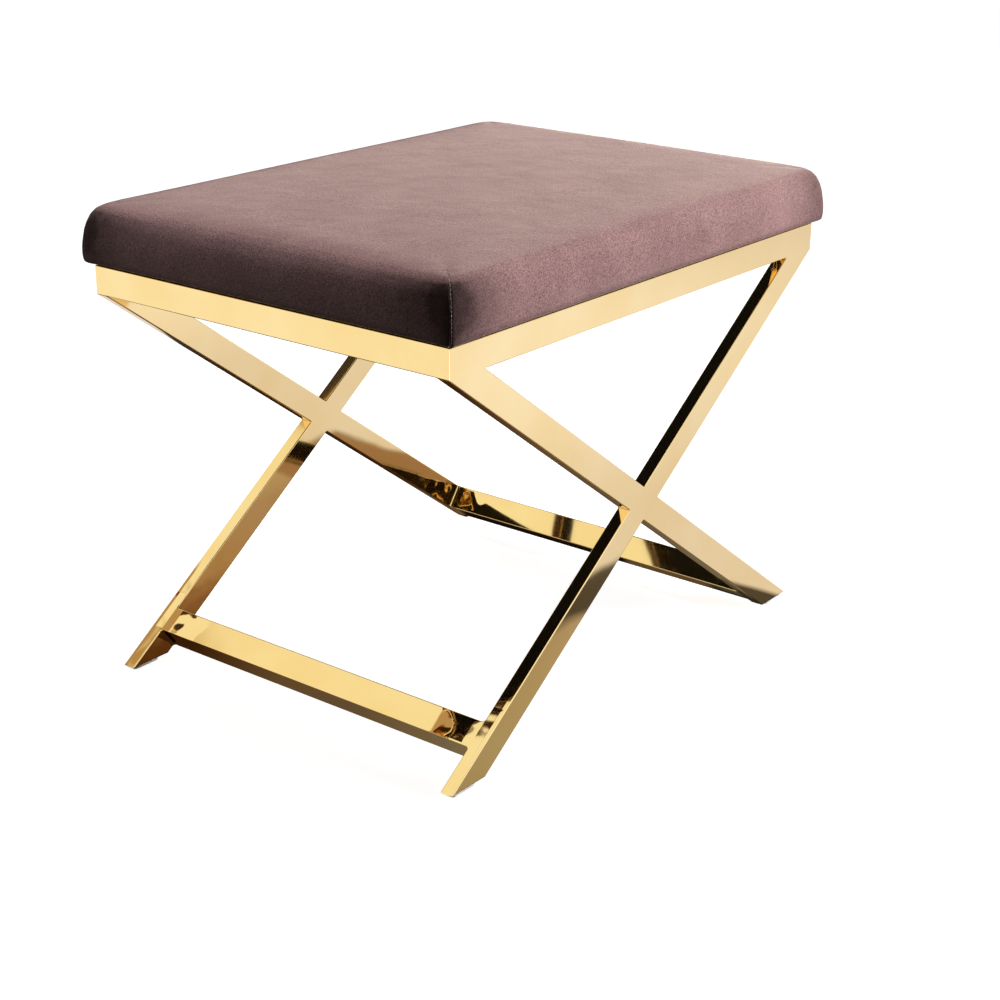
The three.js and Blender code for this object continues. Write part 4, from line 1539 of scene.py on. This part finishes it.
    def build_stitches(self, cover: bpy.types.Object) -> None:
        """Lays the thread that shows in each corner's seam.

        Args:
            cover: The sewn cover.
        """
        seam_top = self.bottom + self.edge_height * self.seam_top_share
        for corner in Corner:
            axis, out, across = self.corner_frame(corner)
            # The thread lies on the long side's side of each seam.
            aside = across * self.thread_aside * corner.value[0] * corner.value[1]
            made = []
            z = self.bottom + self.roll_radius
            while z < seam_top - self.thread_below_top:
                ends = []
                for height in (z, z + self.stitch_length):
                    origin = axis + out * self.search_from + aside
                    origin.z = height
                    hit, place, _, _ = cover.ray_cast(origin, -out)
                    ends.append(place + out * self.thread_radius / 2 if hit else origin)
                made.append(ends)
                z += self.stitch_length + self.stitch_gap
            piece = stitches(f"corner_thread_{corner.label}", made, self.thread_radius)
            settle(piece, SewingThread(), Slot.VELVET)

    def build(self) -> None:
        """Makes the pad's layers."""
        skin = self.start_form()
        self.inflate(skin)
        self.build_stuffing(skin)
        add_modifier(skin, "SUBSURF", levels=1, render_levels=1)
        cover = self.build_velvet(applied(skin))
        bpy.data.objects.remove(skin)
        self.build_stitches(cover)
        dress_node("seat_board", PoplarPlywood())


# Studio


@dataclass(frozen=True)
class Lamp:
    """A square soft lamp that faces the seat."""

    name: str
    place: Place
    side: float
    power: float
    aim: Place = (0, 0, 0.4)

    def hang(self) -> None:
        """Adds the lamp, which neither polished metal nor the camera sees."""
        data = bpy.data.lights.new(self.name, "AREA")
        data.shape, data.size, data.energy = "SQUARE", self.side, self.power
        lamp = new_object(self.name, data)
        lamp.visible_glossy = lamp.visible_camera = False
        lamp.matrix_world = facing(self.place, self.aim)


def facing(place: Place, aim: Place) -> Matrix:
    """Gives the matrix of a lamp or a camera that looks from one place to another."""
    turn = (Vector(aim) - Vector(place)).to_track_quat("-Z", "Y").to_matrix().to_4x4()
    return Matrix.Translation(place) @ turn


@dataclass(frozen=True)
class ShadePatch:
    """A patch of painted shade on the floor, which only polished metal's reflections show."""

    low: tuple[float, float]
    high: tuple[float, float]

    def edge(self, tree: Tree, place: Socket) -> Node:
        """Adds the distance past the patch's nearest edge, which is below zero on the patch.

        Args:
            tree: The floor material's node tree.
            place: The place on the floor.

        Returns:
            The node that gives the distance in metres.
        """
        middle = [(a + b) / 2 for a, b in zip(self.low, self.high)]
        half = [(b - a) / 2 for a, b in zip(self.low, self.high)]
        shifted = add_node(tree, "VectorMath", [place, (*middle, 0)], operation="SUBTRACT")
        folded = add_node(tree, "VectorMath", [shifted], operation="ABSOLUTE")
        beyond = add_node(tree, "VectorMath", [folded, (*half, 0)], operation="SUBTRACT")
        x, y, _ = add_node(tree, "SeparateXYZ", [beyond]).outputs
        return add_node(tree, "Math", [x, y], operation="MAXIMUM")


@dataclass(frozen=True)
class MirroredFloor:
    """The floor as polished metal sees it: white, with painted shade under the stool that only reflections
    show.

    The painted shade stands for the stool's shadow on the floor, so that the metal's faces stand out from
    each other.
    """

    # Patches of painted shade: the stool's shadow on the floor, a brown one behind on the right and the
    # darkest one on the right.
    under_stool_shade: ShadePatch = ShadePatch((-0.70, -0.375), (0.262, 0.60))
    behind_right_shade: ShadePatch = ShadePatch((0.20, -0.13), (0.35, 0.60))
    darkest_shade: ShadePatch = ShadePatch((0.20, -0.03), (0.30, 0.19))
    # The painted shade's tones run in bands along the stool, up to this far behind its middle.
    bands_end: float = 0.2
    bands: Tones = (
        (0.1, "#BEAE96"), (0.3, "#D7C8A3"), (0.6, "#AA9176"),
        (0.74, "#A98A66"), (0.85, "#8A6340"), (0.93, "#633F21"),
    )
    behind_right_shade_tone: str = "#9D7E5E"
    darkest_shade_tone: str = "#2B2018"
    # The painted shade has a darker rim inside its edge.
    rim: Span = (-0.045, -0.03)
    rim_shade_tone: str = "#575048"
    # How far past their edges the patches of painted shade fade into each other and into the floor
    shade_fade: Span = (0.02, 0.01)
    floor_fade: Span = (0.008, 0.02)
    wave: float = 0.03
    wave_length: float = 0.11
    # The painted shade is mirrored darker from above than aslant, like a satin face.
    reflection_slant: Span = (0.45, 0.62)
    reflection_least: float = 0.3
    # Painted reflection of the floor: warm white on the left, and a painted pool of light in front on the
    # right.
    left_white: str = "#FFFBE9"
    left_span: Span = (-0.6, -0.1)
    pool_middle: Place = (0.6, -0.95, 0)
    pool_reach: Place = (1.1, 0.5, 1)
    pool: Tones = ((0.0, "#FFFFFF"), (0.45, "#FAF8F7"), (1.0, "#E7E2E1"))
    # A painted glint, brighter than white, that only polished metal sees.
    glint_middle: Place = (-1.05, -0.95, 0)
    glint_reach: Span = (0.5, 0.15)
    glint: float = 2.6

    def tone(self, tree: Tree, y: Socket) -> Node:
        """Adds the tone of the large patch of painted shade, in bands that run along the stool."""
        depth = add_node(tree, "MapRange", [y, self.under_stool_shade.low[1], self.bands_end])
        return add_node(tree, "ValToRGB", [depth], self.bands)

    def open_floor(self, tree: Tree, place: Socket, x: Socket) -> Node:
        """Adds the floor round the painted shade, with a painted pool of light in front on the right and a
        painted glint.

        Args:
            tree: The floor material's node tree.
            place: The place on the floor.
            x: Its place along the stool.

        Returns:
            The shader node.
        """
        aim = add_node(tree, "VectorMath", [place, self.pool_middle], operation="SUBTRACT")
        share = add_node(tree, "VectorMath", [aim, self.pool_reach], operation="DIVIDE")
        far = add_node(tree, "VectorMath", [share], operation="LENGTH")
        pool = add_node(tree, "ValToRGB", [far], self.pool)
        side = add_node(tree, "MapRange", [x, *self.left_span])
        colour = add_node(tree, "Mix", {0: side, 6: self.left_white, 7: pool}, data_type="RGBA")
        away = add_node(tree, "VectorMath", [place, self.glint_middle], operation="DISTANCE")
        glint = add_node(tree, "MapRange", [away, *self.glint_reach, 1.0, self.glint])
        return add_node(tree, "Emission", [colour, glint])

    def shader(self, tree: Tree, place: Socket) -> Node:
        """Adds the whole mirrored floor, with its painted shade, pool of light and glint.

        Args:
            tree: The floor material's node tree.
            place: The place on the floor.

        Returns:
            The shader node.
        """
        x, y, _ = add_node(tree, "SeparateXYZ", [place]).outputs
        scale = {"Scale": 1 / self.wave_length, "Detail": 2}
        ripple = add_node(tree, "TexNoise", {"Vector": place, **scale})
        laid = self.under_stool_shade, self.behind_right_shade, self.darkest_shade
        large, beside, core = (shade_patch.edge(tree, place) for shade_patch in laid)
        nearest = add_node(tree, "Math", [large, beside], operation="MINIMUM")
        wavy, beside, core = (
            add_node(tree, "Math", [ripple, self.wave, edge], operation="MULTIPLY_ADD")
            for edge in (nearest, beside, core)
        )
        rim = add_node(tree, "MapRange", [wavy, *self.rim])
        tone = add_node(tree, "Mix", {0: rim, 6: self.tone(tree, y), 7: self.rim_shade_tone}, data_type="RGBA")
        for edge, colour in ((beside, self.behind_right_shade_tone), (core, self.darkest_shade_tone)):
            inside = add_node(tree, "MapRange", [edge, *self.shade_fade])
            tone = add_node(tree, "Mix", {0: inside, 6: tone, 7: colour}, data_type="RGBA")
        slant = add_node(tree, "LayerWeight").outputs["Facing"]
        reflection_strength = add_node(tree, "MapRange", [slant, *self.reflection_slant, self.reflection_least])
        # Painted shade, which only reflections show.
        shade_patches = add_node(tree, "Emission", [tone, reflection_strength])
        outside = add_node(tree, "MapRange", [wavy, *self.floor_fade])
        return add_node(tree, "MixShader", [outside, shade_patches, self.open_floor(tree, place, x)])


@dataclass(frozen=True)
class MirroredRoom:
    """The painted reflection that polished metal sees in place of the room: white, warm behind, dark on the
    right, with a painted glint.
    """

    ripple: float = 0.03
    ripple_scale: float = 14.0
    # The painted reflection of the ceiling is warm and dimmer behind a line that slopes on the right.
    warm: Tones = ((0.0, "#FBF5D5"), (1.0, "#B89A6E"))
    warm_span: Span = (0.752, 0.785)
    warm_slope: float = -0.5
    slope_from: float = -0.2
    # The painted reflection is dark on the right and high up, with an orange edge.
    dark: Tones = ((0.3, "#FFFFFF"), (0.45, "#B57C30"), (0.8, "#B57C30"), (1.0, "#3F3835"))
    dark_side: Span = (-0.07, -0.055)
    dark_height: Span = (0.5, 0.6)
    # A painted dark patch shows only where one tube mirrors another, and a painted glint, brighter than
    # white, stands in for a lamp's highlight.
    dark_spot_direction: Place = (-0.55, -0.62, 0.565)
    dark_spot_span: Span = (0.91, 0.93)
    dark_spot_tone: str = "#1A130D"
    glint_direction: Place = (-0.05, -0.785, 0.606)
    glint_span: Span = (0.94, 0.98)
    glint: float = 1.3

    def shader(self, tree: Tree) -> Node:
        """Adds the painted reflection of the room.

        Args:
            tree: The world's node tree.

        Returns:
            The background node.
        """
        direction = add_node(tree, "TexCoord").outputs["Generated"]
        x, y, z = add_node(tree, "SeparateXYZ", [direction]).outputs
        ripple = add_node(tree, "TexNoise", {"Vector": direction, "Scale": self.ripple_scale, "Detail": 1})
        sideways = add_node(tree, "Math", [ripple, self.ripple, x], operation="MULTIPLY_ADD")
        right = add_node(tree, "MapRange", [sideways, *self.dark_side])
        high = add_node(tree, "MapRange", [z, *self.dark_height])
        dark = add_node(tree, "Math", [right, high], operation="MULTIPLY")
        across = add_node(tree, "Math", [x, self.slope_from], operation="MAXIMUM")
        backwards = add_node(tree, "Math", [across, self.warm_slope, y], operation="MULTIPLY_ADD")
        behind = add_node(tree, "MapRange", [backwards, *self.warm_span])
        tones = add_node(tree, "ValToRGB", [behind], self.warm), add_node(tree, "ValToRGB", [dark], self.dark)
        both = {0: 1.0, 6: tones[0], 7: tones[1]}
        seen = add_node(tree, "Mix", both, data_type="RGBA", blend_type="MULTIPLY")
        for place, span, tone in (
            (self.dark_spot_direction, self.dark_spot_span, self.dark_spot_tone),
            (self.glint_direction, self.glint_span, linear(self.glint)),
        ):
            towards = add_node(tree, "VectorMath", [direction, place], operation="DOT_PRODUCT")
            near = add_node(tree, "MapRange", [towards, *span])
            seen = add_node(tree, "Mix", {0: near, 6: seen, 7: tone}, data_type="RGBA")
        return add_node(tree, "Background", [seen])


@dataclass
class Studio:
    """The floor, the light and the camera.

    The floor and the room are white to the eye. Polished metal sees painted shade under the stool, a painted
    dark part of the ceiling and painted glints too.
    """

    camera_place: Place = (-1.33565, -1.05895, 0.78821)
    camera_aim: Place = (0.04587, 0.0, 0.11987)
    camera_roll: float = math.radians(0.688)
    lens: float = 69.96
    sensor: float = 36.0
    clip: Span = (0.05, 100)
    floor_half: float = 20.0
    floor_thick: float = 0.02
    # The floor's own glow round the stool, and from the second distance on
    floor_glow: Span = (0.88, 1.0)
    glow_reach: Span = (0.7, 2.2)
    floor_white: float = 0.6
    floor_bounce: float = 0.06
    room_light: float = 0.006
    lamps: tuple[Lamp, ...] = (
        Lamp("front_lamp", (1.2, -2.0, 0.5), 0.8, 59),
        Lamp("overhead_lamp", (0.4, 0.15, 1.9), 0.8, 19),
        Lamp("back_lamp", (-0.45, 2.2, 1.1), 1.2, 14),
        Lamp("left_fill_lamp", (-0.75, 0.55, 1.0), 0.4, 1.3),
    )

    def build_camera(self) -> None:
        """Stands the camera where the photograph was taken."""
        data = bpy.data.cameras.new("camera")
        data.lens, data.sensor_width = self.lens, self.sensor
        data.clip_start, data.clip_end = self.clip
        camera = new_object("camera", data)
        roll = Matrix.Rotation(self.camera_roll, 4, "Z")
        camera.matrix_world = facing(self.camera_place, self.camera_aim) @ roll
        bpy.context.scene.camera = camera

    def build_floor(self) -> None:
        """Lays the plain pale floor."""
        half = self.floor_half
        floor = boxed("floor", (-half, -half, -self.floor_thick), (half, half, 0.0))
        made = bpy.data.materials.new("studio_floor_white")
        made.use_nodes = True
        tree = made.node_tree
        tree.nodes.clear()
        path = add_node(tree, "LightPath").outputs
        place = add_node(tree, "TexCoord").outputs["Object"]
        away = add_node(tree, "VectorMath", [place], operation="LENGTH")
        brighter = add_node(tree, "MapRange", [away, *self.glow_reach, *self.floor_glow])
        glow = add_node(tree, "Emission", ["#FFFFFF", brighter])
        greys = self.floor_white, self.floor_bounce
        matt, dim = (add_node(tree, "BsdfDiffuse", [linear(grey)]) for grey in greys)
        seen = add_node(tree, "AddShader", [matt, glow])
        lit = add_node(tree, "MixShader", [path["Is Camera Ray"], dim, seen])
        # Polished metal sees the floor with painted shade, a painted pool of light and a painted glint.
        mirrored = MirroredFloor().shader(tree, place)
        mix = add_node(tree, "MixShader", [path["Is Glossy Ray"], lit, mirrored])
        add_node(tree, "OutputMaterial", [mix])
        floor.data.materials.append(made)

    def build_world(self) -> None:
        """Lights the room: white where it is seen, dim where it lights, and a painted reflection where metal
        mirrors it.
        """
        world = bpy.data.worlds.new("studio")
        bpy.context.scene.world = world
        world.use_nodes = True
        tree = world.node_tree
        tree.nodes.clear()
        path = add_node(tree, "LightPath").outputs
        strength = add_node(tree, "MapRange", [path["Is Camera Ray"], 0, 1, self.room_light])
        plain = add_node(tree, "Background", ["#FFFFFF", strength])
        mix = add_node(tree, "MixShader", [path["Is Glossy Ray"], plain, MirroredRoom().shader(tree)])
        add_node(tree, "OutputWorld", [mix])

    def build(self) -> None:
        """Sets up the studio."""
        self.build_camera()
        self.build_floor()
        self.build_world()
        for lamp in self.lamps:
            lamp.hang()
        bpy.context.scene.view_settings.view_transform = "Standard"


def main() -> None:
    """Builds the stool and its studio."""
    logging.basicConfig(level=logging.INFO, format="%(name)s: %(message)s")
    Studio().build()
    WeldedFrame().build()
    Glides().build()
    SeatFixings().build()
    DustCloth().build()
    VelvetPad().build()


if __name__ == "__main__":
    main()
